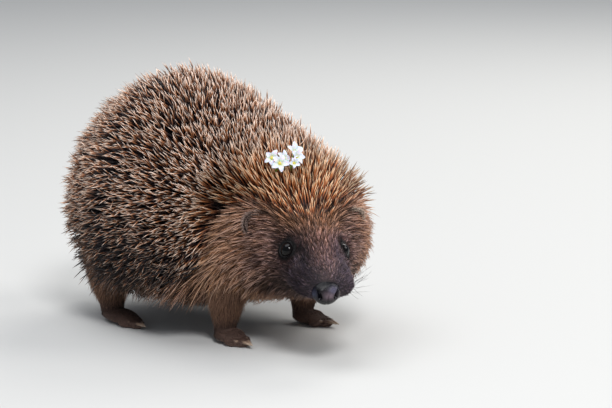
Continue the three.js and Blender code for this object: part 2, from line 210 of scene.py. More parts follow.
def through(x, y, value):
    """A cubic through points that keeps between them: its slope is 0 at each peak and dip."""
    step = np.diff(x)
    slope = np.diff(y) / step
    a, b, wa, wb = slope[:-1], slope[1:], 2 * step[1:] + step[:-1], step[1:] + 2 * step[:-1]
    with np.errstate(divide="ignore", invalid="ignore"):
        inner = np.where(a * b > 0, (wa + wb) / (wa / a + wb / b), 0)
    tangent = np.concatenate([slope[:1], inner, slope[-1:]])
    i = np.clip(np.searchsorted(x, value) - 1, 0, len(step) - 1)
    h, t = step[i], (value - x[i]) / step[i]
    return ((1 + 2 * t) * (1 - t) ** 2 * y[i] + t * (1 - t) ** 2 * h * tangent[i]
            + t * t * (3 - 2 * t) * y[i + 1] + t * t * (t - 1) * h * tangent[i + 1])


# The backbone from above, walked in short steps from the nose back.
walk = np.linspace(0, body_length, 404)
walk_turn = head_turn * (1 - smooth(*neck_bend, walk))
strides = np.stack([np.sin(walk_turn), np.cos(walk_turn)], 1)
walked = np.concatenate([[[0, 0]], np.cumsum((strides[1:] + strides[:-1]) / 2, 0) * walk[1]])
walked -= [np.interp(middle, walk, walked[:, k]) for k in (0, 1)]
walked += [0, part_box("rump")[1].y / mm - walked[-1, 1]]  # the rump's end is the CAD's


def place(at, side, height):
    """A point from the backbone, in metres: distance back, offset to the left, height."""
    turn = head_turn * (1 - smooth(*neck_bend, at))
    x, y = (np.interp(at, walk, walked[:, k]) for k in (0, 1))
    ahead = np.minimum(at, 0)
    return mm * np.stack(np.broadcast_arrays(
        x + np.cos(turn) * side + np.sin(turn) * ahead,
        y - np.sin(turn) * side + np.cos(turn) * ahead,
        height,
    ), -1)


def coat_point(at, around):
    """The tips of the coat: a rounded box of a section, swept along the backbone."""
    ease = ease_of(at)
    half, back, widest, under = (through(ease_of(sections[:, 0]), sections[:, k], ease) for k in range(1, 5))
    fade = 1 - smooth(170, body_length, at)
    above = 0.6 * smooth(30, 48, at) * (1 - smooth(60, 100, at)) + 0.15 * smooth(60, 100, at) * fade
    below = 0.7 * smooth(35, 85, at) * fade
    up, out = np.cos(around), np.sin(around)
    power = 2 / (2 + np.where(up > 0, above, below))
    rise = np.where(up > 0, back - widest, widest - under)
    side = -half * np.sign(out) * np.abs(out) ** power
    return place(at, side, widest + rise * np.sign(up) * np.abs(up) ** power)


print("nose tip at", place(0, 0, nose_level).round(4))
print("rump at", place(body_length, 0, rump_level).round(4))

# %% [markdown]
# ## Where spines end and fur begins
# The spines start in a peak on the forehead, pass above the ears, run down behind the cheeks and
# then along the flanks, low above the legs. One line holds that edge, as an angle from the middle
# of the back. The skin lies deep below long spines and close below the short fur of the face, so
# the coat's depth follows the same line.

# %% Regions of the coat
edge_at = np.array([12, 21, 27, 31, 36, 43, 48, 51, 54, 58, 65, 86, 140, 170, 190, 201.5])
edge_angle = np.array([-45, -22, 0, 15, 29, 42, 50, 62, 78, 92, 106, 118, 121, 122, 132, 150])


def from_edge(at, around):
    """Degrees round the body from the edge of the spines: negative among the spines."""
    return np.abs(np.degrees(around)) - np.interp(at, edge_at, edge_angle)


def fur_length(at, around):
    """Short on the muzzle, long over the cheeks and flanks, and shorter again on the belly."""
    length = np.interp(at, [0, 6, 14, 24, 34, 46, 60, 80, 110, 150, 175, 201],
                       [0.9, 1.7, 2.6, 3.4, 5.2, 8.5, 12.0, 15.5, 17, 15, 11, 9])
    degrees = np.abs(np.degrees(around))
    chin = smooth(2, 10, at) * (1 - smooth(30, 50, at)) * smooth(110, 150, degrees)
    return length * (1 - 0.4 * smooth(140, 172, degrees) * smooth(60, 90, at)) * (1 + 0.7 * chin)


def coat_depth(at, around):
    """How far the skin lies below the coat's tips, in millimetres."""
    fur = np.interp(at, [0, 10, 20, 30, 45, 60, 85, 201], [0.8, 0.9, 1.1, 1.9, 3.2, 4.6, 6, 6])
    spines = np.interp(at, [33, 42, 55, 70, 201], [2.6, 6.5, 10.5, 12.5, 12.5])
    return mix(spines, fur, smooth(-14, 8, from_edge(at, around)))


# %% [markdown]
# ## One skin
# A single grid covers the body from nose to rump, with its rows close together on the face. Each
# point starts on the coat's form and sinks along the normal by the coat's depth. Then soft bumps
# and hollows model the head: a bump is a bell curve of a given height and width round a place.
# The line of the mouth is a narrow groove at the height of the lips.
#
# Sculpting by hand or subdividing a rough cage would also work, but a formula keeps the skin, the
# roots of the coat and the CAD model on one set of coordinates.

# %% The body's skin
def row_places(spacing):
    """Distances back for the skin's rows: spacing(at) millimetres apart along the surface."""
    fine = np.linspace(0.0005, 0.9995, 4000)
    at = body_length * (1 - np.cos(np.pi * fine)) / 2
    high, low = 0.6, 2.0  # angles round the body: the surface is measured between them
    line = (coat_point(at, high) + coat_point(at, low)) / 2
    count = np.cumsum(np.gradient(travelled(line)) / spacing(at))
    return np.interp(np.arange(1, count[-1]), count, at)


def differences(grid):
    """How a grid's points move from row to row and, all the way round, from column to column."""
    return np.gradient(grid, axis=0), np.roll(grid, -1, 1) - np.roll(grid, 1, 1)


columns = 232
rows_at = row_places(lambda at: np.interp(at, [0, 40, 70, 110, 201], [0.42, 0.5, 1.0, 1.5, 1.5]))
angles = (np.arange(columns) / columns * 2 - 1) * np.pi
grid_at, grid_around = np.meshgrid(rows_at, angles, indexing="ij")
outer = coat_point(grid_at, grid_around)
outward = unit(np.cross(*differences(outer)))

eye_at, eye_radius = 23.9, 3.8
eye_angle, eye_shows = 57.5, 2.0  # degrees round, and how far the ball stands out of the coat's form
left_eye_angle, left_eye_shows = 62.5, 0.8  # the left eye lies further round and deeper
lip_front, lip_corner = (4.5, 35.6), (26.5, 39.2)  # (distance back, height) of the mouth's line

# place back, angle round, height, width of each bump on either side of the face
face_bumps = [
    (eye_at, eye_angle, 0.7, 5.0),  # round the eye
    (16.5, 66, -1.5, 5.0),  # hollow in front of the eye
    (28, 34, 1.0, 5.0),  # brow
    (33, 84, 1.3, 7.0),  # cheekbone
    (6.5, 92, 0.9, 4.6),  # whisker pad
    (13, 112, 0.5, 5.0),  # upper lip
    (17, 0, -0.5, 6.0),  # dip of the bridge
]
left_lip = (9, -126, 1.0, 6.0)  # hangs a little lower than the right one
skin_grid = outer - outward * coat_depth(grid_at, grid_around)[..., None] * mm
each_side = [(at, hand * degrees, height if degrees else height / 2, width)
             for at, degrees, height, width in face_bumps for hand in (1, -1)]
for at, degrees, height, width in each_side + [left_lip]:
    centre = coat_point(np.array(float(at)), np.array(np.radians(degrees)))
    far = np.linalg.norm(outer - centre, axis=-1) / mm
    skin_grid += outward * (height * mm * np.exp(-((far / width) ** 2)))[..., None]

lip_height = np.interp(grid_at, *zip(lip_front, lip_corner))
off_lip = skin_grid[..., 2] / mm - lip_height
mouth = smooth(2.5, 6, grid_at) * (1 - smooth(25, 28, grid_at)) * np.exp(-((off_lip / 0.55) ** 2))
chin = smooth(3, 9, grid_at) * (1 - smooth(20, 30, grid_at)) * smooth(0.2, 2.5, -off_lip)
skin_grid -= outward * ((1.0 * mouth + 0.9 * chin) * mm)[..., None]

ends = [place(0.8, 0, nose_level), place(body_length - 6, 0, rump_level)]
body_skin = closed_grid(skin_grid, ends)
skin_along, skin_across = differences(skin_grid)
skin_normal = unit(np.cross(skin_along, skin_across))
print(f"skin grid: {len(rows_at)} rows of {columns}")

# %% [markdown]
# ## Finding a spot on the skin
# Every hair needs the skin's place and directions at its root. They are read from the grid by
# mixing the four points round the root. At each spot, three directions matter: outward, back
# towards the rump, and down the side, away from the middle of the back.

# %% Spots on the skin
def on_grid(values, at, around):
    """The grid's values at any place, mixed from the four points round it."""
    i = np.interp(at, rows_at, np.arange(len(rows_at)))
    j = (around / np.pi + 1) / 2 * columns
    i0 = np.clip(i.astype(int), 0, len(rows_at) - 2)
    j0 = np.floor(j).astype(int)
    ti, tj = (i - i0)[:, None], (j - j0)[:, None]
    j0, j1 = j0 % columns, (j0 + 1) % columns
    return mix(mix(values[i0, j0], values[i0, j1], tj), mix(values[i0 + 1, j0], values[i0 + 1, j1], tj), ti)


def spots_on_body(at, around):
    """The skin at each root: its point, and the directions outward, back and down the side."""
    out = unit(on_grid(skin_normal, at, around))
    back = on_grid(unit(skin_along), at, around)
    back = unit(back - out * dot(back, out))
    down = np.cross(back, out) * np.sign(-around)[:, None]
    return {
        "at": at, "around": around, "point": on_grid(skin_grid, at, around),
        "out": out, "back": back, "down": down,
        "map": np.stack([(around / np.pi + 1) / 2, ease_of(at)], 1),
    }


test = spots_on_body(np.array([120.0]), np.array([np.pi / 2]))
print("on the right flank, outward is", test["out"][0].round(2))
print("and down the side is", test["down"][0].round(2))

# %% [markdown]
# ## Colours of the animal
# Skin and coat carry the same markings, so one function gives the fur's colour for any place on
# the body: purplish grey-brown on the muzzle, dark round the eyes and down the hollow in front of
# them, warm brown on the forehead, tan over the cheeks and flanks, and paler on the belly. It also
# paints light and shade: the left side of the face lighter, and the right side of the muzzle and
# the throat darker. The colours are stored in the meshes as attributes and read by the materials.

# %% Markings
# distance back, angle round, reach and darkness of the dark patch's parts: the eye, a stripe from it
# towards the nose, then behind and above it
eye_patch = (
    (eye_at, eye_angle, 4.1, 1), (21.0, 50, 2.8, 1), (18.3, 39, 2.6, 0.9), (15.6, 32, 2.3, 0.7),
    (12.6, 28, 2.4, 0.45), (10.0, 30, 2.2, 0.4), (27.6, 59, 2.6, 0.95), (26.2, 49, 2.6, 1))


def near_eye(points):
    """1 at an eye and in the hollow that runs from it towards the nose, fading to 0 round them."""
    shade = np.zeros(points.shape[:-1])
    for hand in (1, -1):
        share = 1 if hand > 0 else 0.56  # the left side's patch is smaller
        for at, degrees, reach, dark in eye_patch:
            centre = coat_point(np.array(float(at)), np.array(hand * np.radians(degrees)))
            far = np.linalg.norm(points - centre, axis=-1) / mm
            dark = dark * (share if at == eye_at else share**3)
            shade = np.maximum(shade, dark * np.exp(-((far / reach / share) ** 4)))
    return shade


# distance back, and the fur's colour there over the top and down the side; down the side of the
# muzzle the darker colour is partly painted shade
fur_bands = (
    (0, paint(108, 84, 88), paint(80, 65, 76)),  # nose
    (7, paint(112, 84, 86), paint(64, 51, 61)),
    (14, paint(112, 80, 78), paint(64, 51, 61)),  # muzzle
    (20, paint(114, 78, 70), paint(67, 50, 53)),
    (26, paint(124, 83, 62), paint(84, 59, 57)),  # eyes
    (32, paint(134, 88, 57), paint(142, 104, 94)),
    (40, paint(147, 99, 66), paint(174, 127, 107)),  # cheeks
    (48, paint(150, 104, 75), paint(224, 164, 128)),
    (56, paint(150, 108, 84), paint(252, 190, 148)),  # ruff
    (66, paint(146, 108, 86), paint(230, 174, 136)),
    (80, paint(130, 98, 80), paint(156, 115, 92)),
    (110, paint(116, 90, 76), paint(102, 80, 68)),  # flanks
    (201, paint(112, 88, 74), paint(94, 74, 66)),
)


def between_bands(at, which):
    """The bands' colour at each place, mixed from the bands before and behind it."""
    stops = [band[0] for band in fur_bands]
    channels = np.transpose([band[which] for band in fur_bands])
    return np.stack([np.interp(at, stops, channel) for channel in channels], -1)


def fur_colour(at, around, points):
    """The coat's colour at each place, as linear red, green and blue."""
    side = np.degrees(around)
    degrees = np.abs(side)
    begins, full = (np.interp(at, [0, 20, 30], limits) for limits in ([14, 12, 24], [44, 36, 58]))
    colour = mix(between_bands(at, 1), between_bands(at, 2), smooth(begins, full, degrees)[..., None])
    # painted light: the left side of the face is lighter, as if lit from that side
    left = smooth(-8, 26, -side) * smooth(0, 6, at) * (1 - smooth(52, 66, at))
    left = left * (1 - smooth(90, 125, degrees))
    # painted shade: the right side of the bridge and muzzle is darker
    right = smooth(4, 22, side) * (1 - smooth(58, 74, side)) * smooth(9, 13, at) * (1 - smooth(24, 31, at))
    colour = colour * (1 + np.interp(at, [20, 36], [0.64, 0.26]) * left - 0.44 * right)[..., None]
    pale = np.exp(-(((at - 13.4) / 2.8) ** 2) - ((side - 53) / 9) ** 2)  # below the eye
    colour = mix(colour, paint(124, 104, 116), 0.75 * pale[..., None])
    belly = smooth(40, 80, at) * smooth(140, 172, degrees)
    colour = mix(colour, paint(170, 146, 122), 0.6 * belly[..., None])
    # painted shade under the chin and low on the cheeks behind the muzzle
    painted_chin_shade = smooth(4, 14, at) * smooth(98, 128, degrees) * (1 - smooth(40, 60, at))
    colour = mix(colour, paint(78, 61, 54), 0.75 * painted_chin_shade[..., None])
    return mix(colour, paint(11, 8, 10), 0.96 * near_eye(points)[..., None])


# %% [markdown]
# ## Materials
# Each finish is a Principled shader with detail from nodes. Two effects serve several finishes, so
# each is a node group. "Fine relief" gives a height, grainy or pebbled, for bare skin, horn and
# petals. "Hair tone" turns one colour into light and dark streaks. Only values that change over
# the surface come from groups, because plain numbers belong on the shader's own sockets.

# %% Material helpers
def node(tree, kind, inputs=None, **settings):
    """A shader node with its settings, its numbers, and links from other nodes' outputs."""
    made = tree.nodes.new("ShaderNode" + kind)
    for name, value in settings.items():
        setattr(made, name, value)
    for socket, value in (inputs or {}).items():
        if isinstance(value, bpy.types.NodeSocket):
            tree.links.new(value, made.inputs[socket])
        else:
            made.inputs[socket].default_value = value
    return made


def group(name, inputs, outputs):
    """An empty node group and its inner ends. inputs and outputs are (name, kind, value)."""
    tree = bpy.data.node_groups.new(name, "ShaderNodeTree")
    for title, kind, value in inputs:
        socket = tree.interface.new_socket(title, in_out="INPUT", socket_type="NodeSocket" + kind)
        socket.default_value = value
    for title, kind in outputs:
        tree.interface.new_socket(title, in_out="OUTPUT", socket_type="NodeSocket" + kind)
    return tree, tree.nodes.new("NodeGroupInput").outputs, tree.nodes.new("NodeGroupOutput").inputs


def material(name, **sockets):
    """A new material, its node tree and its shader, with plain numbers on the shader's sockets."""
    made = bpy.data.materials.new(name)
    made.use_nodes = True
    shader = made.node_tree.nodes["Principled BSDF"]
    for socket, value in sockets.items():
        shader.inputs[socket.replace("_", " ")].default_value = value
    return made, made.node_tree, shader


def stored(tree, title, output="Fac"):
    """A value that the mesh stores at its points, or with the output "Color" a colour."""
    return node(tree, "Attribute", attribute_name=title).outputs[output]


def ramp(tree, value, stops):
    """A colour ramp: stops are (position, colour)."""
    made = node(tree, "ValToRGB", {"Fac": value})
    elements = made.color_ramp.elements
    while len(elements) < len(stops):
        elements.new(1.0)
    for element, (position, colour) in zip(elements, stops):
        element.position = position
        element.color = (*colour, 1)
    return made.outputs["Color"]


# %% The two shared effects
fine_relief, given, gives = group(
    "Fine relief", [("Scale", "Float", 2500.0), ("Pebbles", "Float", 0.0)], [("Height", "Float")])
where = node(fine_relief, "TexCoord").outputs["Object"]
grain = node(fine_relief, "TexNoise", {"Vector": where, "Scale": given["Scale"], "Detail": 3.0})
pebble = node(fine_relief, "TexVoronoi", {"Vector": where, "Scale": given["Scale"]}, feature="SMOOTH_F1")
domed = node(fine_relief, "Math", {0: 1.0, 1: pebble.outputs["Distance"]}, operation="SUBTRACT")
height = node(fine_relief, "Mix", {0: given["Pebbles"], 2: grain.outputs[0], 3: domed.outputs[0]})
fine_relief.links.new(height.outputs[0], gives["Height"])

hair_tone, given, gives = group(
    "Hair tone",
    [("Colour", "Color", (0.3, 0.2, 0.1, 1)), ("Scale", "Float", 900.0), ("Contrast", "Float", 0.4)],
    [("Colour", "Color")])
where = node(hair_tone, "TexCoord").outputs["Object"]
streak = node(hair_tone, "TexNoise", {"Vector": where, "Scale": given["Scale"], "Detail": 2.0})
centred = node(hair_tone, "Math", {0: streak.outputs[0], 1: 0.5}, operation="SUBTRACT")
swing = node(
    hair_tone, "Math", {0: centred.outputs[0], 1: given["Contrast"], 2: 1.0}, operation="MULTIPLY_ADD")
streaked = node(hair_tone, "VectorMath", {0: given["Colour"], "Scale": swing.outputs[0]}, operation="SCALE")
hair_tone.links.new(streaked.outputs[0], gives["Colour"])
print("groups:", fine_relief.name, "and", hair_tone.name)

# %% [markdown]
# The finishes: fur, spines, skin, nose, eye, claw, petal, flower middle and stem. A spine is
# banded along its length: rusty brown in the middle and cream near the tip, and dark from the
# root to the middle, which is painted shade deep among the spines.
# The crown's spines are warmer. The nose is wet, so it is glossy over its pebbled skin.

# %% Fur and spines
def streaks(tree, colour, scale, contrast):
    """A colour streaked by the Hair tone group."""
    inputs = {"Colour": colour, "Scale": scale, "Contrast": contrast}
    return node(tree, "Group", inputs, node_tree=hair_tone).outputs[0]


fur_finish, tree, shader = material("Fur", Roughness=0.6, Specular_IOR_Level=0.16)
tree.links.new(streaks(tree, stored(tree, "Colour", "Color"), 1300.0, 0.5), shader.inputs["Base Color"])

spine_finish, tree, shader = material("Spine", Roughness=0.42, Specular_IOR_Level=0.45)
along = stored(tree, "Along")
# in both ramps the dark stops towards the root are painted shade, deep among the spines
cool_bands = ramp(tree, along, [
    (0.0, paint(40, 32, 37)), (0.5, paint(32, 24, 27)), (0.6, paint(98, 60, 38)),
    (0.72, paint(166, 110, 72)), (0.82, paint(230, 200, 178)), (0.93, paint(242, 222, 208)),
    (1.0, paint(126, 92, 78))])
warm_bands = ramp(tree, along, [
    (0.0, paint(42, 29, 27)), (0.34, paint(68, 39, 29)), (0.52, paint(140, 74, 36)),
    (0.7, paint(188, 114, 60)), (0.81, paint(230, 184, 140)), (0.94, paint(236, 200, 160)),
    (1.0, paint(150, 102, 70))])
bands = node(tree, "Mix", {0: stored(tree, "Warmth"), 6: cool_bands, 7: warm_bands}, data_type="RGBA")
tone = streaks(tree, bands.outputs[2], 900.0, 0.35)
shaded = node(tree, "VectorMath", {0: tone, "Scale": stored(tree, "Shade")}, operation="SCALE")
tree.links.new(shaded.outputs[0], shader.inputs["Base Color"])
print("coat finishes:", fur_finish.name, "and", spine_finish.name)

# %% Skin, nose, eye and claws
def finish_surface(tree, shader, colour, streak_scale, contrast, relief_scale, pebbles, strength, depth):
    """Streaks in a shader's colour, and fine relief in its surface, depth metres deep."""
    tree.links.new(streaks(tree, colour, streak_scale, contrast), shader.inputs["Base Color"])
    inputs = {"Scale": relief_scale, "Pebbles": pebbles}
    height = node(tree, "Group", inputs, node_tree=fine_relief).outputs["Height"]
    raised = node(tree, "Bump", {"Height": height, "Strength": strength, "Distance": depth})
    tree.links.new(raised.outputs[0], shader.inputs["Normal"])


skin_finish, tree, shader = material("Skin", Roughness=0.6, Specular_IOR_Level=0.35)
finish_surface(tree, shader, stored(tree, "Colour", "Color"), 420.0, 0.6, 2600.0, 0.5, 0.5, 0.0002)

nose_finish, tree, shader = material("Nose", Roughness=0.17, Specular_IOR_Level=0.26)
finish_surface(tree, shader, stored(tree, "Colour", "Color"), 700.0, 1.2, 2300.0, 1.0, 0.4, 0.0005)

eye_finish, tree, shader = material("Eye", Roughness=0.03, IOR=1.38, Specular_IOR_Level=0.32)
colour = ramp(tree, stored(tree, "Off middle"), [
    (0.0, paint(3, 3, 4)), (0.42, paint(5, 5, 6)), (0.5, paint(15, 11, 10)), (0.8, paint(11, 9, 9)),
    (1.0, paint(8, 7, 8))])
tree.links.new(colour, shader.inputs["Base Color"])

claw_finish, tree, shader = material("Claw", Roughness=0.38, Specular_IOR_Level=0.4)
colour = ramp(tree, stored(tree, "Along"), [
    (0.0, paint(92, 72, 62)), (0.6, paint(150, 126, 106)), (1.0, paint(196, 178, 156))])
finish_surface(tree, shader, colour, 700.0, 0.5, 1800.0, 0.0, 0.3, 0.0001)
print("bare finishes:", [finish.name for finish in (skin_finish, nose_finish, eye_finish, claw_finish)])

# %% Flowers' finishes
def plant_material(name, base, tip, **sockets):
    """A soft plant surface that changes colour from base to tip."""
    made, tree, shader = material(name, **sockets)
    colour = ramp(tree, stored(tree, "Along"), [(0.1, base), (0.45, tip)])
    finish_surface(tree, shader, colour, 1500.0, 0.25, 3000.0, 0.0, 0.4, 0.0001)
    return made


petal_finish = plant_material(
    "Petal", paint(204, 212, 160), paint(226, 228, 238), Roughness=0.5, Subsurface_Weight=0.25,
    Subsurface_Scale=0.0006)
middle_finish = plant_material("Flower middle", paint(150, 160, 60), paint(222, 208, 92), Roughness=0.6)
stem_finish = plant_material("Stem", paint(84, 116, 40), paint(120, 150, 52), Roughness=0.55)
print("plant finishes:", [finish.name for finish in (petal_finish, middle_finish, stem_finish)])

# %% [markdown]
# ## Lids
# An eye only looks set in its head when lids wrap it. Each pair of lids is one ring: its inner
# edge is an almond on the eyeball, drawn out into a point towards the nose, and its outer edge
# lies just under the skin. In between, the profile rises over a soft rounded margin.

# %% Lids
sides = {"right": 1, "left": -1}  # the sign of the angle round the body on either side


def eye_frame(hand):
    """The eye's centre and its directions: outward, towards the nose, and up."""
    degrees, shows = (eye_angle, eye_shows) if hand > 0 else (-left_eye_angle, left_eye_shows)
    at, around = np.array([eye_at]), np.array([np.radians(degrees)])
    point, out = on_grid(outer, at, around)[0], unit(on_grid(outward, at, around))[0]
    centre = point + out * (shows - eye_radius) * mm
    ahead = -on_grid(unit(skin_along), at, around)[0]
    ahead = unit(ahead - out * (ahead @ out))
    up = np.cross(ahead, out) * -hand
    up *= np.sign(up[2])
    gaze = unit(out + 0.05 * ahead)  # the eyes look a little forward
    ahead = unit(ahead - gaze * (ahead @ gaze))
    tilt = np.radians(12)  # the inner corner points a little up
    return centre, gaze, ahead * np.cos(tilt) + up * np.sin(tilt), up * np.cos(tilt) - ahead * np.sin(tilt)


def lids(hand, rows=16, columns=80):
    """Closed rings round the eye: row by row from under the lids' margin to just below the skin."""
    centre, out, ahead, up = eye_frame(hand)
    turn = np.arange(columns) / columns * 2 * np.pi
    c, s = np.cos(turn), np.sin(turn)
    # an almond: a circle that is drawn out ahead, a little behind, and flattened above
    opening = 3.42 + 0.55 * np.maximum(c, 0) ** 5 + 0.12 * np.maximum(-c, 0) ** 6
    opening = opening - 0.1 * np.maximum(s, 0) ** 2
    on_ball = np.sqrt(np.maximum((eye_radius + 0.1) ** 2 - opening**2, 2.6))
    share = np.linspace(0, 1, rows)[:, None]
    radius = opening + np.interp(share, [0, 0.12, 0.22, 0.4, 1], [0.35, 0.02, 0.1, 0.6, 3.8])
    lift = np.interp(share, [0, 0.12, 0.22, 0.34, 0.5, 1], [-0.9, -0.05, 0.3, 0.42, 0.2, 0])
    level = on_ball * (1 - smooth(0.3, 1, share)) + lift
    rings = centre + mm * (
        radius[..., None] * (c[:, None] * ahead + s[:, None] * up) + level[..., None] * out)
    # towards their outer edge the rings sink to just below the skin under them
    nearby = (np.abs(grid_at - eye_at) < 14) & (np.sign(grid_around) == hand)
    ground, ground_out = skin_grid[nearby], skin_normal[nearby]
    flat = (rings - centre) - ((rings - centre) @ out)[..., None] * out
    ground_flat = (ground - centre) - ((ground - centre) @ out)[:, None] * out
    nearest = np.argmin(np.linalg.norm(ground_flat - flat.reshape(-1, 1, 3), axis=-1), axis=1)
    below = (ground[nearest] - 0.3 * mm * ground_out[nearest]).reshape(rings.shape)
    rings = mix(rings, below, smooth(0.35, 1.0, share)[..., None])
    return facing_out(*closed_grid(rings, [centre, centre - 3 * mm * out]))


lid_shapes = [lids(hand) for hand in sides.values()]
print("each pair of lids has", len(lid_shapes[0][0]), "points")

# %% [markdown]
# ## Ears
# A hedgehog's ear is a short round cup, half lost in the coat. It is a flattened bowl with a
# rolled rim: its surface runs from the middle of the back, round the rim and into the middle of
# the hollow, so it is one closed grid.

# %% Ears
ear_at, ear_angle = 44.0, 60  # distance back, degrees round
ear_sunk, left_ear_sunk = 6.3, 8.2  # how far a centre lies below the coat's form: the left one deeper


def ear_frame(hand):
    """The ear's centre and its directions: wide, facing and tall, with its hollow to the front."""
    around = np.array([hand * np.radians(ear_angle)])
    root, later = (on_grid(outer, np.array([at]), around)[0] for at in (ear_at, ear_at + 3))
    out, back = unit(on_grid(outward, np.array([ear_at]), around))[0], unit(later - root)
    tall = unit(0.75 * out + 0.45 * back + np.array([0, 0, 0.35]))
    facing = 0.6 * out - back
    facing = unit(facing - tall * (facing @ tall))
    sunk = ear_sunk if hand > 0 else left_ear_sunk
    return root - tall * sunk * mm, np.cross(facing, tall), facing, tall


def ear(hand, rows=34, columns=56):
    """A bowl from its back (s = -1) over the rim (s = 0) to its hollow (s = 1), round by turn."""
    centre, wide, facing, tall = ear_frame(hand)
    s = np.linspace(-0.98, 0.98, rows)[:, None]
    turn = np.arange(columns) / columns * 2 * np.pi
    c, t = np.cos(turn), np.sin(turn)
    out = 1 - np.abs(s) ** 1.6  # 0 in the middle and 1 at the rim
    out = np.sin(out * np.pi / 2)
    bowl = -4.2 * (1 - out**2) ** 0.9
    wall = 0.75 * np.sign(s) * (1 - out**6) ** 0.5
    fold = 0.7 * np.exp(-(((out - 0.72) / 0.12) ** 2)) * smooth(0, 0.1, s) * np.maximum(t, 0)
    rim = 0.35 * np.exp(-(((out - 1) / 0.07) ** 2)) * smooth(-0.3, 1, t)  # the rim rolls forward
    across = 5.6 * out * c * (1 + 0.05 * t)
    height = 7.6 * out * t - 0.3 * (t < 0)
    depth = bowl + wall + fold + rim + 0.8 * (out * c) ** 2
    points = centre + mm * (across[..., None] * wide + height[..., None] * tall + depth[..., None] * facing)
    poles = [centre + mm * d * facing for d in (-4.75, -3.65)]
    return facing_out(*closed_grid(points, poles))


ear_shapes = [ear(hand) for hand in sides.values()]
print("ear tips at", [points[:, 2].max().round(4) for points, _ in ear_shapes])

# %% [markdown]
# ## Legs and feet
# A leg is a few simple forms: a shin that widens into the body, a flat foot and five toes. Put
# together they would show creases, so they are remeshed. Blender's Remesh modifier fills the
# union with small cubes and wraps one even surface round it, and Smooth melts the joins. The feet
# are then cut off flat at the floor.

# %% Eggs and tubes
def about_z(turn):
    """The matrix that turns points, one in a row, about z."""
    c, s = np.cos(turn), np.sin(turn)
    return np.array([[c, s, 0], [-s, c, 0], [0, 0, 1]])


def egg(centre, halves, turn=0.0, rows=20, columns=28):
    """An ellipsoid with its half sizes along x, y and z, turned about z: sines and cosines."""
    polar = ((np.arange(rows) + 0.5) / rows * np.pi)[:, None]
    azimuth = np.arange(columns) / columns * 2 * np.pi
    form = np.stack([
        np.sin(polar) * np.cos(azimuth),
        np.sin(polar) * np.sin(azimuth),
        np.cos(polar) + 0 * azimuth,
    ], -1)
    points, faces = closed_grid(form, [[0, 0, 1], [0, 0, -1]])
    return facing_out(points * halves @ about_z(turn) + centre, faces)


def tube(path, radii, columns=20):
    """A round form of changing radius along a path of points, closed at both ends."""
    path, radii = np.asarray(path, float), np.asarray(radii, float)
    ahead = unit(np.gradient(path, axis=0))
    across = unit(np.cross(ahead, [1.0, 0.2, 0.1]))
    over = np.cross(ahead, across)
    turn = np.arange(columns) / columns * 2 * np.pi
    rings = path[:, None] + radii[:, None, None] * (
        np.cos(turn)[:, None] * across[:, None] + np.sin(turn)[:, None] * over[:, None])
    poles = [path[0] - ahead[0] * radii[0] / 2, path[-1] + ahead[-1] * radii[-1] / 2]
    return facing_out(*closed_grid(rings, poles))


def melted(points, faces, cube, passes):
    """The union of several closed forms as one smooth surface."""
    mesh = bpy.data.meshes.new("Melting")
    mesh.from_pydata(points.tolist(), [], [face for kind in faces for face in kind.tolist()])
    piece = bpy.data.objects.new("Melting", mesh)
    bpy.context.scene.collection.objects.link(piece)
    remesh = piece.modifiers.new("Remesh", "REMESH")
    remesh.mode, remesh.voxel_size = "VOXEL", cube
    relax = piece.modifiers.new("Smooth", "SMOOTH")
    relax.factor, relax.iterations = 0.5, passes
    result = piece.evaluated_get(bpy.context.evaluated_depsgraph_get()).to_mesh()
    where, corners = np.empty(len(result.vertices) * 3), np.empty(len(result.loops), np.int32)
    result.vertices.foreach_get("co", where)
    result.loops.foreach_get("vertex_index", corners)
    piece.to_mesh_clear()
    bpy.data.objects.remove(piece)
    bpy.data.meshes.remove(mesh)
    return where.reshape(-1, 3), [corners.reshape(-1, 4)]  # a remeshed surface is all quads


print("an egg of", len(egg([0, 0, 0], [1, 1, 1])[0]), "points can be melted into its neighbours")

# %% Legs and feet
# distance back, offset, toes out (degrees), thigh, ankle, lean, the foot's width, length and height,
# and the claws' length
leg_sizes = {
    "front": (84, 27, 8, 12, 6.2, -4, (16, 19, 9), 5.5),
    "hind": (158, 30, 14, 15, 6.8, 3, (15, 30, 9), 5),
}
hip = 42  # the height at which a leg is lost in the body
toes, claw_rings, claw_facets = 5, 9, 10


def leg_heading(which, hand):
    """The angle from straight ahead (-y) to a foot's toes: the backbone's turn there, and outwards."""
    at, side, toe_out = leg_sizes[which][:3]
    return -hand * np.radians(toe_out) - head_turn * (1 - smooth(*neck_bend, at))


def toe_and_claw(sideways, foot, claw):
    """Three eggs for a toe, and its claw: a curved tube that rises a little and then droops.

    sideways is the toe's place across the foot, from -1 to 1. The outer toes are shorter, set
    further back and turned outwards.
    """
    width, length = foot[:2]
    outer_toe = sideways**2
    half = 4.5 * (1 - 0.28 * outer_toe)
    turn = np.radians(-26 * sideways)
    ahead = np.array([np.sin(turn), -np.cos(turn), 0])
    root = np.array([0.36 * width * sideways, -length * (0.22 + 0.42 - 0.16 * outer_toe), 1.9])
    toe = root + ahead * half * 0.6
    eggs = [
        egg(toe, [1.75, half - 0.2, 1.7], turn),  # the whole toe
        egg(toe + ahead * half * 0.5 + [0, 0, 0.15], [1.85, 1.9, 1.8], turn),  # its knuckle
        egg(toe + ahead * half * 0.35 - [0, 0, 0.9], [1.5, 2.0, 1.2], turn),  # its pad
    ]
    t = np.linspace(0, 1, claw_rings)[:, None]
    curve = toe + ahead * (half * 0.62 + claw * t) + [0, 0, 1] * (0.75 - 1.6 * t**1.8 + 0.9 * t)
    return eggs, tube(curve, np.interp(t[:, 0], [0, 0.3, 0.8, 1], [0.95, 0.9, 0.45, 0.1]), claw_facets)


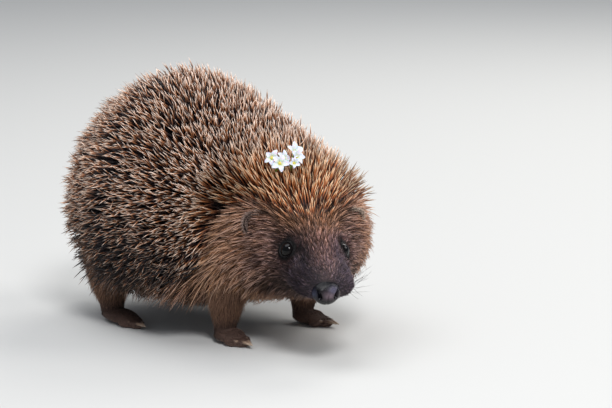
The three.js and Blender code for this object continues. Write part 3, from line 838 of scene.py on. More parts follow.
def leg(which, hand):
    """One leg and its claws, each as (points, faces), in place: the toes point ahead, towards -y."""
    at, side, toe_out, thigh, ankle, lean, foot, claw = leg_sizes[which]
    width, length, tall = foot
    heights = np.linspace(3.5, hip, 12)
    shin = np.stack([0 * heights, lean * heights / hip, heights], 1)
    bulk = [ankle - 1.8, ankle - 1.2, (thigh + ankle) / 2 - 2.0, thigh - 2.5]
    forms = [
        tube(shin, np.interp(heights, [3, 9, 20, hip], bulk)),
        egg([0, -0.22 * length, 0.38 * tall], [width / 2 - 1, length / 2 - 1, tall / 2 - 1.1]),
    ]
    claws = []
    for sideways in np.linspace(-1, 1, toes):
        eggs, own_claw = toe_and_claw(sideways, foot, claw)
        forms += eggs
        claws.append(own_claw)
    flesh, flesh_faces = melted(*joined([(points * mm, faces) for points, faces in forms]), 0.8 * mm, 3)
    horn, horn_faces = joined(claws)
    turned_out, foot_place = about_z(leg_heading(which, hand)), place(at, -hand * side, 0)
    floor_level = [-99, -99, 0.0]  # nothing lies below the floor
    return [
        (mm * (np.maximum(points, floor_level) @ turned_out) + foot_place, faces)
        for points, faces in ((flesh / mm, flesh_faces), (horn, horn_faces))]


legs = {(which, name): leg(which, hand) for which in leg_sizes for name, hand in sides.items()}
for (which, name), ((points, faces), claws) in legs.items():
    print(which, name, "leg from", points.min(0).round(4), "to", points.max(0).round(4))

# %% [markdown]
# ## The tail
# The tail is a short bare cone that hangs behind and hardly shows below the spines.

# %% Tail
reach = np.linspace(0, 1, 12)
droop = np.radians(46)
tail_path = place(183, 0, 27) + 22 * mm * reach[:, None] * [0, np.cos(droop), -np.sin(droop)]
tail_shape = tube(tail_path, np.interp(reach, [0, 0.6, 1], [3.5, 2.2, 0.8]) * mm, 24)
print("tail ends at", tail_path[-1].round(4))

# %% [markdown]
# ## The skin as one piece
# Body, lids, ears, legs and tail are joined into one mesh, so no seam shows where the CAD model
# had its parts. The skin carries the coat's markings, painted much darker as shade, because it is
# seen in the gaps between hairs, and it is darkest, in painted shade, under the spines.

# %% Skin
def skin_colours(at, around, points):
    """The fur's colour painted much darker as shade between the hairs, and dark brown painted shade under
    the spines.
    """
    colour = fur_colour(at, around, points) * 0.16
    return mix(colour, paint(44, 33, 29), smooth(6, -12, from_edge(at, around))[..., None])


flat_at = np.concatenate([grid_at.ravel(), [0, body_length]])
flat_around = np.concatenate([grid_around.ravel(), [0, 0]])
lid_tone, limb_tone = paint(10, 8, 9), paint(98, 76, 66)
# painted light: the left ear is painted lighter, against the shade in its hollow and as if lit
ear_tones = paint(78, 62, 56), paint(140, 122, 110)  # the left ear is the lighter one
limbs = [shape for shape, claws in legs.values()] + [tail_shape]
shapes_and_tones = [(body_skin, skin_colours(flat_at, flat_around, body_skin[0]))]
shapes_and_tones += [(shape, lid_tone) for shape in lid_shapes]
shapes_and_tones += list(zip(ear_shapes, ear_tones))
shapes_and_tones += [(shape, limb_tone) for shape in limbs]
skin_points, skin_faces = joined([shape for shape, tone in shapes_and_tones])
skin_tones = np.concatenate([np.broadcast_to(tone, shape[0].shape) for shape, tone in shapes_and_tones])
skin = new_piece("skin", skin_points, skin_faces, skin_finish, "skin", {"Colour": skin_tones})
for replaced in ("head", "jaw", "neck", "trunk", "rump", "tail", "ear_right", "ear_left"):
    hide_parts(replaced)
for which in leg_sizes:
    for name in sides:
        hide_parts(f"leg_{which}_{name}", f"foot_{which}_{name}")

# %% [markdown]
# ## Claws
# The claws stay apart from the skin, in horn: curved cones, darker at the root.

# %% Claws
claw_points, claw_faces = joined([claws for shape, claws in legs.values()])
claw_along = shares_along(np.linspace(0, 1, claw_rings), claw_facets, toes * len(legs))
new_piece("claws", claw_points, claw_faces, claw_finish, "claws", {"Along": claw_along})

# %% [markdown]
# ## Eyes
# An eye is a ball with a slightly raised cornea. It is almost black, so its wet gloss and the
# lights that show in it do most of the work.

# %% Eyes
def eyeball(hand, rows=48, columns=64):
    """A sphere whose pole looks outward, its radius raised by a bell curve over the cornea."""
    centre, out, ahead, up = eye_frame(hand)
    polar = (np.arange(rows) + 0.5)[:, None] / rows * np.pi
    azimuth = np.arange(columns) / columns * 2 * np.pi
    radius = eye_radius * (1 + 0.02 * np.exp(-((polar / 0.6) ** 2)))
    grid = centre + mm * (
        (radius * np.cos(polar))[..., None] * out
        + (radius * np.sin(polar) * np.cos(azimuth))[..., None] * ahead
        + (radius * np.sin(polar) * np.sin(azimuth))[..., None] * up)
    poles = [centre + out * eye_radius * 1.02 * mm, centre - out * eye_radius * mm]
    off_middle = np.concatenate([np.repeat(polar[:, 0], columns), [0, np.pi]]) / (np.pi / 2)
    return facing_out(*closed_grid(grid, poles)), np.minimum(off_middle, 1)


for name, hand in sides.items():
    (points, faces), off_middle = eyeball(hand)
    ball = new_piece(f"eye_ball_{name}", points, faces, eye_finish, "eye", {"Off middle": off_middle})
    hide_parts(f"eye_{name}")

# %% [markdown]
# ## The nose
# The nose pad is a blunt ball wider than it is high. A nostril is a comma: a round pit at the
# front with a slit that curls outwards and back. A groove runs down the middle to the lip. Pits
# and groove are bell curves that push the ball's surface inwards.

# %% Nose
nose_place = (2.9, -0.6, 36.6)  # distance back, offset to the left, height
nose_wide, nose_deep, nose_high = 7.0, 4.7, 5.8  # half sizes
# offset and height of each tint's middle, its half sizes, and the tint: mauve at the front, partly
# the pad's own colour and partly a painted highlight; then a painted bluish highlight high on the
# left, a painted bluish reflection on the right rim, and painted light on the left wing
nose_tints_and_highlights = (
    (0.1, -0.12, 0.42, 0.34, paint(106, 90, 98)),
    (0.34, 0.3, 0.26, 0.26, paint(92, 88, 106)),
    (-0.9, 0.0, 0.16, 0.36, paint(38, 40, 58)),
    (0.95, -0.1, 0.12, 0.3, paint(76, 62, 64)),
)


def nose_pad(rows=110, columns=150):
    """A sphere with its pole ahead, stretched to the nose's half sizes and dented."""
    ahead = np.array([-np.sin(head_turn), -np.cos(head_turn), 0])
    left = np.array([np.cos(head_turn), -np.sin(head_turn), 0])
    up = np.array([0, 0, 1])
    polar = ((np.arange(rows) + 0.5) / rows)[:, None] ** 1.3 * np.pi
    azimuth = np.arange(columns) / columns * 2 * np.pi
    x = np.sin(polar) * np.cos(azimuth)  # to the left
    z = np.sin(polar) * np.sin(azimuth)  # up
    y = np.cos(polar) + 0 * azimuth  # ahead
    wide = nose_wide * (1 - 0.12 * smooth(0, -1, z) - 0.06 * smooth(0.4, 1, z)) * x
    high = nose_high * z
    deep = nose_deep * y * (1 - 0.14 * smooth(0.1, 1, z))
    # a swell over each nostril and a shallow dip between them
    swell = 0.45 * np.exp(-(((np.abs(x) - 0.5) / 0.3) ** 2 + ((z - 0.42) / 0.3) ** 2))
    curl = np.linspace(0, 1, 16)  # from the round front of a nostril to the end of its slit
    nostril = zip(0.56 + 0.13 * curl**2, -0.3 + 0.62 * curl, 0.17 - 0.1 * curl**1.5, 2.2 - 1.1 * curl)
    pit = np.zeros_like(x)
    for side, height, radius, depth in nostril:
        near = np.sqrt((np.abs(x) - side) ** 2 + (z - height) ** 2) / radius
        pit = np.maximum(pit, depth * (1 - smooth(0.25, 1.15, near)))
    pit *= y > -0.2
    groove = 0.55 * np.exp(-((x / 0.05) ** 2)) * smooth(0.3, -0.25, z) * (y > 0)
    inward = pit + groove - swell * (y > -0.2)
    normal = unit(np.stack([x / nose_wide, y / nose_deep, z / nose_high], -1))
    local = np.stack([wide, deep, high], -1) - normal * inward[..., None]
    centre = place(*nose_place)
    points = centre + mm * (local[..., 0:1] * left + local[..., 1:2] * ahead + local[..., 2:] * up)
    tones = paint(8, 8, 12) + np.zeros(x.shape + (1,))  # dark at the rim and below
    # paint the tints: the mauve, and the painted highlights, reflection and light
    for side, height, half, tall, tint in nose_tints_and_highlights:
        near = np.exp(-(((x - side) / half) ** 2) - ((z - height) / tall) ** 2)
        tones = mix(tones, tint, (near * (y > -0.1) * (1 - pit / pit.max()))[..., None])
    tones = tones.reshape(-1, 3)
    shape = facing_out(*closed_grid(points, [points[0].mean(0), points[-1].mean(0)]))
    return shape, np.concatenate([tones, tones[:1], tones[-1:]])


nose_shape, nose_tones = nose_pad()
nose = new_piece("nose_pad", *nose_shape, nose_finish, "nose_skin", {"Colour": nose_tones})
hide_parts("nose")

# %% [markdown]
# ## Hair as solid mesh
# Spines and fur could be particle hair or hair curves, but only solid mesh survives being exported
# to other programs. So each hair is a thin tapered tube. Its middle line leaves the skin at an
# angle and bends over, and a small polygon is carried along it. One pattern of faces is made for a
# single hair and then repeated for all of them with array sums. That makes tens of thousands of
# hairs in a few seconds.
#
# Each hair also gets a small patch on a map of the skin, at its root's place.

# %% Growing hairs
def one_hair(count, facets):
    """A hair's faces: quads between its count rings, and triangles over its tip and its root."""
    k, j = np.meshgrid(np.arange(count - 1) * facets, np.arange(facets), indexing="ij")
    following = (j + 1) % facets
    quads = np.stack([k + j, k + following, k + facets + following, k + facets + j], -1).reshape(-1, 4)
    j, last = np.arange(facets), (count - 1) * facets
    tip = np.stack([last + j, last + (j + 1) % facets, np.full(facets, count * facets)], 1)
    inner = np.arange(1, facets - 1)
    root = np.stack([0 * inner, inner + 1, inner], 1)
    return quads, np.concatenate([tip, root])


def grow(name, hairs, rings, facets, finish, slot, shades, bend=0.25, flat=1.0):
    """Hairs, given as the values of their spots, as one piece.

    At a share t of its length, a hair's angle above the skin is lift * (1 - bend * t), and its
    middle line is the sum of those directions. swing pushes the tip sideways by t squared.
    rings are (t, share of the half width), facets the corners of each ring, and flat narrows the
    hair across the skin. shades turn the shares along a hair into values at its points.
    """
    n = len(hairs["point"])
    length, width, lift, swing = (
        np.broadcast_to(hairs[title], n)[:, None] for title in ("length", "width", "lift", "swing"))
    t, share = np.array(rings + [(1.0, 0.0)]).T
    angle = lift * (1 - bend * t)
    forward = (np.sin(lift) - np.sin(angle)) / (lift * bend) * length * mm
    upward = (np.cos(angle) - np.cos(lift)) / (lift * bend) * length * mm
    sideways = swing * length * t**2 * mm
    lie, out = hairs["lie"][:, None], hairs["out"][:, None]
    across = np.cross(out, lie)
    line = hairs["point"][:, None] + forward[..., None] * lie
    line = line + upward[..., None] * out + sideways[..., None] * across
    over = np.cos(angle)[..., None] * out - np.sin(angle)[..., None] * lie
    turn = np.arange(facets) / facets * 2 * np.pi
    half = (width * share * mm / 2)[:, :-1, None, None]
    walls = line[:, :-1, None] + half * (
        np.cos(turn)[:, None] * across[:, :, None] + flat * np.sin(turn)[:, None] * over[:, :-1, None])
    points = np.concatenate([walls.reshape(n, -1, 3), line[:, -1:]], 1)
    size = points.shape[1]

    first = (np.arange(n) * size)[:, None, None]
    faces = [(kind + first).reshape(-1, kind.shape[1]) for kind in one_hair(len(rings), facets)]
    along = np.append(np.repeat(t[:-1], facets), 1.0)
    values = {title: value(along) for title, value in shades.items()}
    around_hair = np.append(np.tile(np.cos(turn), len(rings)), 0.0)
    spot_map = hairs["map"][:, None] + np.stack([0.0015 * around_hair, 0.003 * (along - 0.5)], 1)
    return new_piece(name, points.reshape(-1, 3), faces, finish, slot, values, spot_map.reshape(-1, 2))


def chosen(spots, which):
    """The same values for some of the spots."""
    return {title: values[which] for title, values in spots.items()}


def spread(weights):
    """Draws from cells in proportion to their weights, evenly: each cell's share is rounded fairly."""
    edges = np.cumsum(weights) + rng.random()
    drawn = np.diff(np.floor(edges), prepend=np.floor(edges[0] - weights[0])).astype(int)
    return np.repeat(np.arange(len(weights)), drawn)


print("a spine has", sum(len(kind) for kind in one_hair(4, 5)), "faces")

# %% [markdown]
# ## The spines
# A spine is a little under a millimetre thick and about as long as a finger joint. It is narrow at
# its root and pointed at its tip. Spines stand in rows, but not neatly: neighbours lean different
# ways and cross. They lie back along the body, a little down on the flanks, and over the forehead
# they are shorter and fan outwards.
#
# The rows come from measuring each section of the skin, so the gaps stay even where the body
# narrows. The lift of each spine is the one that brings its tip to the coat's outer form, or a
# little past it.

# %% Where spines stand
first_spines = 28  # distance back of the peak on the forehead
spine_gap = 1.6  # millimetres between neighbours


def rows_of_spines(spacing):
    """Places in rows: spacing millimetres between neighbours in a row, and a little less between rows."""
    line = travelled(skin_grid[:, columns // 2])
    row_line = np.arange(np.interp(first_spines, rows_at, line), line[-1], spacing * 0.9)
    ring_around = (np.arange(361) / 180 - 1) * np.pi  # one for each degree
    places_at, places_around = [], []
    for i, at in enumerate(np.interp(row_line, line, rows_at)):
        girth = travelled(on_grid(skin_grid, np.full(len(ring_around), at), ring_around))
        n = max(int(girth[-1] / spacing), 3)
        stands = (np.arange(n) + 0.5 * (i % 2)) / n * girth[-1]  # every second row is staggered
        places_around.append(np.interp(stands, girth, ring_around))
        places_at.append(np.full(n, at))
    at, around = np.concatenate(places_at), np.concatenate(places_around)
    jitter = rng.normal(0, 0.28 * spacing, (2, len(at)))
    at = np.clip(at + jitter[0], first_spines, body_length - 1)
    radius = np.interp(at, [33, 60, 90, 201], [20, 40, 50, 40])  # of the section, roughly
    return at, (around + jitter[1] / radius + np.pi) % (2 * np.pi) - np.pi


at, around = rows_of_spines(spine_gap)
inside = from_edge(at, around) < np.minimum(rng.normal(-1, 5, len(at)), 3)
at, around = at[inside], around[inside]
spots = spots_on_body(at, around)
n = len(at)
degrees = np.abs(np.degrees(around))
print(n, "spines")

# %% How spines lie
downwards = np.interp(degrees, [0, 30, 70, 110, 140], [0, 0.05, 0.14, 0.3, 0.36]) * smooth(60, 100, at)
fan = np.interp(degrees, [0, 40, 80], [0.0, 0.55, 0.75]) * (1 - smooth(50, 85, at))
turn = np.arctan(downwards + fan) + rng.normal(0, np.interp(at, [28, 60, 90], [0.16, 0.4, 0.56]), n)
spots["lie"] = unit(spots["back"] * np.cos(turn)[:, None] + spots["down"] * np.sin(turn)[:, None])

# extra height of the tips in millimetres, most on the crown
extra = np.interp(at, [28, 33, 42, 55, 90, 150, 201], [0, 0.6, 2.4, 3.4, 2.2, 1.3, 1.2])
extra = extra * (1 - 0.6 * smooth(70, 110, degrees))
spine_length = np.interp(at, [28, 33, 42, 60, 85, 201], [6.5, 9, 12.5, 16, 17.5, 17.5]) + 0.6 * extra
spine_length *= rng.normal(1, 0.15, n)
depth = np.interp(at, [28, 33, 42, 55, 70, 201], [2.6, 4.2, 8.6, 12.4, 13.2, 12.8]) + extra
depth *= 1 - 0.45 * smooth(-30, 4, from_edge(at, around)) * smooth(36, 50, at)  # flatter at the edge
spine_lift = np.arcsin(np.clip(depth / spine_length, 0, 0.92)) / 0.9
spine_lift = spine_lift * np.clip(rng.normal(1, 0.15, n), 0.6, 1.3)
spine_lift = np.minimum(spine_lift * (1 - 0.3 * smooth(84, 118, degrees) * smooth(90, 120, at)), 1.2)
low = smooth(60, 90, at) * smooth(72, 106, degrees)  # 1 along the flanks
spine_width = np.interp(at, [28, 33, 55, 90], [0.34, 0.46, 0.64, 0.7]) * (1 - 0.2 * low)
spine_width = spine_width * rng.normal(0.97, 0.08, n)
spots["point"] = spots["point"] - spots["out"] * 1.0 * mm  # rooted a millimetre deep
spots |= {"length": spine_length, "width": spine_width, "lift": spine_lift}
print("spines are", spine_length.min().round(1), "to", spine_length.max().round(1), "mm long")

# %% Tones of the spines
warmth = (1 - smooth(46, 74, at)) * (1 - 0.6 * smooth(50, 90, degrees))
warmth = np.clip(warmth + rng.normal(0.03, 0.12, n), 0, 1)
shade = rng.normal(1.06, 0.14, n)
darker = rng.random(n) < 0.26 + 0.3 * low  # some spines are dark, and more of them on the flanks
# low on the flanks the spines are painted darker: partly their own colour, partly painted shade
shade = shade * np.where(darker, 0.5 - 0.12 * low, 1) * (1 - 0.4 * low)
# painted shade on the sides of the crown above the ears
painted_shade_above_ears = smooth(18, 34, degrees) * (1 - smooth(62, 78, degrees))
shade *= 1 - 0.5 * painted_shade_above_ears * smooth(37, 43, at) * (1 - smooth(57, 70, at))
# how much shorter the pale end of a spine is than on the crown
stretch = (1 + 0.6 * smooth(50, 90, at) + 0.9 * low) * rng.normal(1, 0.14, n)
spots |= {"warmth": warmth, "shade": shade, "stretch": stretch}
print(int(darker.sum()), "of the spines are dark ones")

# %% Spines
spine_rings, spine_facets = [(0.0, 0.35), (0.15, 0.9), (0.64, 1.0), (0.88, 0.6)], 5
crown, rump = at < 78, at >= 160
spine_parts = {
    "crown": crown, "right": ~crown & ~rump & (around > 0), "left": ~crown & ~rump & (around <= 0),
    "rump": rump,
}


def spine_shades(own):
    """Each spine's share along itself, its bands pushed towards the tip, and its warmth and shade."""
    return {
        "Along": lambda along: (1 - (1 - along) * own["stretch"][:, None]).ravel(),
        "Warmth": lambda along: np.repeat(own["warmth"], len(along)),
        "Shade": lambda along: np.repeat(own["shade"], len(along)),
    }


for part, which in spine_parts.items():
    own = chosen(spots, which)
    own["swing"] = rng.normal(0, 0.03, which.sum())
    shades = spine_shades(own)
    grow(f"spines_{part}", own, spine_rings, spine_facets, spine_finish, "spines", shades, bend=0.2)

# %% [markdown]
# ## The fur
# The rest of the body is furred: one to three millimetres long on the muzzle, long and coarse in
# the ruff behind the cheeks and in the skirt along the flanks. One field covers all of it. The
# number of hairs in each place follows from their length and width there, so that they overlap by
# the same amount everywhere. They part round the eyes and sweep down towards the skirt.

# %% The field of fur
cell = np.cross(skin_grid[1:] - skin_grid[:-1], np.roll(skin_grid, -1, 1)[:-1] - skin_grid[:-1])
cell_area = np.linalg.norm(cell, axis=-1) / mm**2
cell_at = (grid_at[1:] + grid_at[:-1]) / 2
cell_around = grid_around[:-1] + np.pi / columns


def hair_width(length):
    """The width in millimetres of a hair of a given length: longer hairs are coarser."""
    return np.interp(length, [0.8, 2.5, 5, 10, 17], [0.18, 0.23, 0.28, 0.34, 0.4])


def hair_density(at, around):
    """Hairs for each square millimetre."""
    length = fur_length(at, around)
    cover = np.interp(at, [0, 30, 60, 100], [3.2, 4.6, 4.8, 3.6])
    dense = np.minimum(cover / (length * hair_width(length)), 8)
    among = np.interp(at, [33, 55, 75], [-30, -22, -13])  # how far hairs grow in among the spines
    return dense * smooth(among, 2, from_edge(at, around))


def in_locks(at, around):
    """Sorts hairs into locks, a few hairs' widths across: each hair's lock and the locks' spots."""
    size = np.interp(at, [0, 20, 45, 80], [0.5, 0.65, 0.95, 1.4])
    angle_size = size / np.interp(at, [0, 12, 24, 40, 60, 201], [8, 12, 16, 27, 38, 45])
    ring = np.round(np.log1p(at / 18) * 34).astype(int)
    side = np.round(around / angle_size + 0.5 * (ring % 2)).astype(int)
    key = ring * 4096 + side + 2048
    keys, first, lock_of = np.unique(key, return_index=True, return_inverse=True)
    count = np.bincount(lock_of)
    centre_at = np.bincount(lock_of, at) / count
    centre_around = np.bincount(lock_of, around) / count
    return len(keys), spots_on_body(centre_at, centre_around), lock_of


weights = (cell_area * hair_density(cell_at, cell_around)).ravel()
drawn = spread(weights)
i, j = np.unravel_index(drawn, cell_at.shape)
share_at, share_around = rng.random((2, len(drawn)))
at = mix(rows_at[i], rows_at[i + 1], share_at)
around = angles[j] + share_around * 2 * np.pi / columns
spots = spots_on_body(at, around)

print(len(at), "roots drawn")

# %% Room for eyes, nose and ears
# how short hairs are, as a share, just beside each eye and just in front of each ear
beside_eyes = {"right": 0.32, "left": 0.6}
before_ears = {"right": 0.55, "left": 1.25}
nose_clear, eye_clear = 5.9, 4.2  # no hair grows this near to their centres, in millimetres

clear = np.linalg.norm(spots["point"] - place(*nose_place), axis=1) / mm > nose_clear
part = np.zeros_like(spots["point"])
shorter = np.ones(len(at))
for name, hand in sides.items():
    centre, gaze, ahead, up = eye_frame(hand)
    away = spots["point"] - centre
    away -= dot(away, gaze) * gaze
    far = np.linalg.norm(away, axis=1) / mm
    near_side = np.abs((spots["point"] - centre) @ gaze) / mm < 6
    clear &= ~(near_side & (far < eye_clear))
    part += (2.6 * np.exp(-(((far - 3.9) / 2.2) ** 2)) * near_side)[:, None] * unit(away)
    shorter *= np.where(near_side, mix(beside_eyes[name], 1, smooth(3.9, 9, far)), 1)
    ear_centre, wide, facing, tall = ear_frame(hand)
    hollow = ear_centre + 3 * mm * tall + 3 * mm * facing
    far = np.linalg.norm(spots["point"] - hollow, axis=1) / mm
    shorter *= mix(before_ears[name], 1, smooth(2, 6, far))
spots |= {"part": part, "shorter": shorter}
spots = chosen(spots, clear)
at, around, n = spots["at"], spots["around"], int(clear.sum())
print(n, "hairs on the body")

# %% How hairs lie
degrees = np.abs(np.degrees(around))
sweep = np.interp(at, [0, 10, 24, 40, 60, 90, 201], [0, 6, 12, 26, 44, 52, 40])
side_share = smooth(20, 80, degrees) * (1 - smooth(150, 178, degrees))
fan = 34 * smooth(10, 45, degrees) * (1 - smooth(60, 95, degrees))
fan = fan * smooth(16, 28, at) * (1 - smooth(40, 60, at))
locks, lock_spots, lock_of = in_locks(at, around)
turn = np.radians(sweep * side_share + fan + rng.normal(0, 5, n) + rng.normal(0, 8, locks)[lock_of])
lie = spots["back"] * np.cos(turn)[:, None] + spots["down"] * np.sin(turn)[:, None]
lie = unit(lie + spots["part"])
spots["lie"] = unit(lie - spots["out"] * dot(lie, spots["out"]))
print(locks, "locks")

# %% How long hairs are
# guard hairs are longer, coarser and paler, and lie over the underfur
guard = rng.random(n) < np.interp(at, [50, 80], [0.22, 0.14])
length = fur_length(at, around) * spots["shorter"]
length = length * rng.normal(1, 0.13, n) * rng.normal(1, 0.1, locks)[lock_of]
length = np.minimum(length, 18)
length *= np.where(guard, np.interp(at, [60, 90], [1.12, 1.0]), 0.95)
over_spines = np.exp(-((from_edge(at, around) / 14) ** 2)) * smooth(46, 58, at) * (1 - smooth(90, 120, at))
length *= 1 + 0.3 * over_spines
lift = np.radians(np.interp(length, [0.8, 3, 8, 17], [24, 26, 24, 20]))
lift = lift * rng.normal(1, 0.2, n) * np.where(guard, 1.2, 0.95)
print("hairs are", length.min().round(1), "to", length.max().round(1), "mm long")

# %% Tones of the fur
# hairs differ, and so do locks: in brightness, and from greyish to golden
own_streak, lock_streak = rng.normal(-0.06, 0.36, n), rng.normal(-0.2, 0.66, locks)[lock_of]
streak = np.exp((own_streak + lock_streak) * np.interp(at, [10, 30], [0.6, 1]))
streak *= np.where(guard, 2.1, 0.64) ** np.interp(at, [8, 30], [0.6, 1])
golden = np.clip(rng.normal(0, 1, locks)[lock_of] + rng.normal(0, 0.6, n), -1.6, 1.6)
colour = fur_colour(at, around, spots["point"])
colour = colour * streak[:, None] * (1 + golden[:, None] * [0.05, 0, -0.12])
tan = colour.mean(1, keepdims=True) * [1.16, 1, 0.84]
colour = mix(colour, tan, np.where(guard, 0.35, 0.08)[:, None])
print("the mean tone is", colour.mean(0).round(3))

# %% Locks drawn together
# the tips of a lock swing towards its middle, so that it comes to a point
spots["point"] = spots["point"] - spots["out"] * 0.15 * mm
to_lock = spots["point"] - lock_spots["point"][lock_of]
aside = dot(to_lock, np.cross(spots["out"], spots["lie"]))[:, 0] / mm
swing = np.clip(-0.75 * aside / np.maximum(length, 1.5), -0.35, 0.35) + rng.normal(0, 0.04, n)
width = hair_width(length) * rng.normal(1, 0.12, n)
width = width * np.where(guard, np.interp(at, [60, 90], [1.3, 1.05]), 1)
spots |= {"length": length, "width": width, "lift": np.maximum(lift, 0.1), "colour": colour, "swing": swing}
print("tips swing by up to", np.abs(swing * length).max().round(1), "mm")

# %% Fur
short_rings, long_rings = [(0.0, 0.8), (0.55, 0.75)], [(0.0, 0.7), (0.35, 1.0), (0.72, 0.7)]


def grow_fur(name, hairs, rings, slot, bend):
    """Three-sided hairs in their own colour, darker at the root as painted shade, lighter towards the tip.
    """
    def colours(along):
        # painted shade: deep in the coat each hair is darkened towards its root
        light = np.interp(along, [0, 0.35, 0.75, 1], [0.1, 0.42, 1.3, 1.75])
        shaded = hairs["colour"][:, None] * light[:, None]
        return (shaded * np.minimum(1, 0.62 / shaded.max(-1, keepdims=True))).reshape(-1, 3)
    return grow(name, hairs, rings, 3, fur_finish, slot, {"Colour": colours}, bend, flat=0.6)


fur_parts = {
    "face": (at < 40, short_rings, "face_fur"),
    "ruff": ((at >= 40) & (at < 75), long_rings, "face_fur"),
    "skirt": (at >= 75, long_rings, "body_fur"),
}
for part, (which, rings, slot) in fur_parts.items():
    for name, hand in sides.items():
        grow_fur(f"fur_{part}_{name}", chosen(spots, which & (np.sign(around) == hand)), rings, slot, 0.45)

# %% [markdown]
# ## Hair on lids, ears, legs and tail
# These parts aren't on the body's grid, so their hairs are scattered over their own faces, as
# many in each as its area asks for. The hair on the lids is the shortest: it hides where the lids
# meet the skin, and it is dark, which makes the eye look larger, as on the animal.

# %% Scattering over faces
def spots_on_faces(points, quads, density, flow, axis):
    """Spots on four-cornered faces. density is hairs per square millimetre, and flow a direction.

    The map unwraps the shape round an axis: the angle round it, and the distance along it.
    """
    a, b, c, d = (points[quads[:, k]] for k in range(4))
    normal = np.cross(c - a, d - b)
    area = np.linalg.norm(normal, axis=1) / 2 / mm**2
    middles = (a + b + c + d) / 4
    drawn = spread(area * density(middles, unit(normal)))
    u, v = rng.random((2, len(drawn), 1))
    point = mix(mix(a[drawn], b[drawn], u), mix(d[drawn], c[drawn], u), v)
    out = unit(normal[drawn])
    lie = flow(point, out)
    lie = unit(lie - out * dot(lie, out))
    first = unit(np.cross(axis, [0.3, 0.2, 1.0]))
    second = np.cross(axis, first)
    off = point - points.mean(0)
    height = off @ axis
    flat = np.stack([np.arctan2(off @ first, off @ second) / (2 * np.pi) + 0.5,
                     0.02 + 0.96 * (height - height.min()) / np.ptp(height)], 1)
    return {"point": point, "out": out, "lie": lie, "map": flat}


def short_hairs(name, spots, length, width, lift, tone, slot, rings, bend=0.4):
    """Hairs of one tone, with the usual spread of length, lift and brightness."""
    n = len(spots["point"])
    streak = np.exp(rng.normal(0, 0.3, n)) * np.where(rng.random(n) < 0.12, 1.5, 1)
    hairs = spots | {
        "length": length * rng.normal(1, 0.15, n), "width": width,
        "lift": np.radians(lift) * rng.normal(1, 0.2, n), "swing": rng.normal(0, 0.08, n),
        "colour": tone * streak[:, None],
    }
    return grow_fur(name, hairs, rings, slot, bend)


# %% Hair on lids and ears
lid_tint = paint(11, 9, 11)
# painted light: the left ear's hair is painted paler, as if lit
ear_hair = {"right": paint(166, 144, 134), "left": paint(222, 202, 184)}  # lighter on the left


def hair_on_lids(name, hand, shape):
    """Short dark hair that grows away from the eye, none of it on the lids' margin."""
    centre, gaze, ahead, up = eye_frame(hand)

    def density(point, out):
        off = point - centre
        far = np.linalg.norm(off - dot(off, gaze) * gaze, axis=1) / mm
        return 11 * smooth(3.7, 4.1, far) * (out @ gaze > 0.15)

    def flow(point, out):
        return 1.4 * unit(point - centre) - ahead

    spots = spots_on_faces(shape[0], shape[1][0], density, flow, gaze)
    far = np.linalg.norm(spots["point"] - centre, axis=1) / mm
    behind_eye = np.full(len(far), hand * np.radians(78.0))
    tone = fur_colour(np.full(len(far), eye_at), behind_eye, spots["point"])
    tone = mix(lid_tint, 1.1 * tone, smooth(4.5, 5.6, far)[:, None])
    length = np.interp(far, [3.4, 7], [0.8, 2.8])
    short_hairs(f"fur_lids_{name}", spots, length, 0.17, 24, tone, "face_fur", short_rings)


def hair_on_ear(name, hand, shape):
    """Fine hair that grows up and over the ear's rim, light and dark mixed."""
    centre, wide, facing, tall = ear_frame(hand)

    def density(point, out):
        return np.where(out @ facing > 0, 6, 9) * smooth(-3, 1, (point - centre) @ tall / mm)

    def flow(point, out):
        return tall + 0.9 * unit(point - centre) - 0.4 * facing * (out @ facing > 0)[:, None]

    spots = spots_on_faces(shape[0], shape[1][0], density, flow, tall)
    n = len(spots["point"])
    tone = np.where(rng.random((n, 1)) < 0.7, ear_hair[name], ear_hair[name] * 0.45)
    length = 2.5 * np.exp(rng.normal(0, 0.25, n))
    short_hairs(f"fur_ear_{name}", spots, length, 0.21, 26, tone, "face_fur", short_rings)


for (name, hand), lid_shape, ear_shape in zip(sides.items(), lid_shapes, ear_shapes):
    hair_on_lids(name, hand, lid_shape)
    hair_on_ear(name, hand, ear_shape)

# %% Hair on legs and tail
upright = np.array([0, 0, 1.0])


def hair_on_leg(which, name, shape):
    """Hair that lies along the toes and down the shin, longer towards the body."""
    turn = leg_heading(which, sides[name])
    toe_way = np.array([np.sin(turn), -np.cos(turn), 0])

    def density(point, out):
        on_top = out[:, 2] > -0.5  # the soles are bare
        return np.interp(point[:, 2] / mm, [0.5, 2, 9, 30, 38], [0, 4.5, 3.6, 2.4, 1]) * on_top

    def flow(point, out):
        return mix(toe_way, -upright - 0.25 * toe_way, smooth(4, 12, point[:, 2:] / mm))

    spots = spots_on_faces(shape[0], shape[1][0], density, flow, upright)
    height = spots["point"][:, 2] / mm
    length = np.interp(height, [0, 4, 9, 18, 30], [0.9, 1.5, 2.6, 6, 9])
    tone = mix(paint(98, 78, 70), paint(128, 98, 80), smooth(6, 20, height)[:, None])
    width = hair_width(length)
    short_hairs(f"fur_leg_{which}_{name}", spots, length, width, 18, tone, "body_fur", short_rings)


for (which, name), (shape, claws) in legs.items():
    hair_on_leg(which, name, shape)

tail_way, tail_density = unit(tail_path[-1] - tail_path[0]), 3.0
spots = spots_on_faces(
    tail_shape[0], tail_shape[1][0], lambda point, out: tail_density, lambda point, out: tail_way, tail_way)
short_hairs("fur_tail", spots, 2.6, 0.2, 16, paint(112, 88, 74), "body_fur", short_rings)

# %% [markdown]
# ## Whiskers
# Whiskers are the thinnest and longest hairs of the face. They stand out sideways from the pads
# beside the nose, with a few more above the eyes.

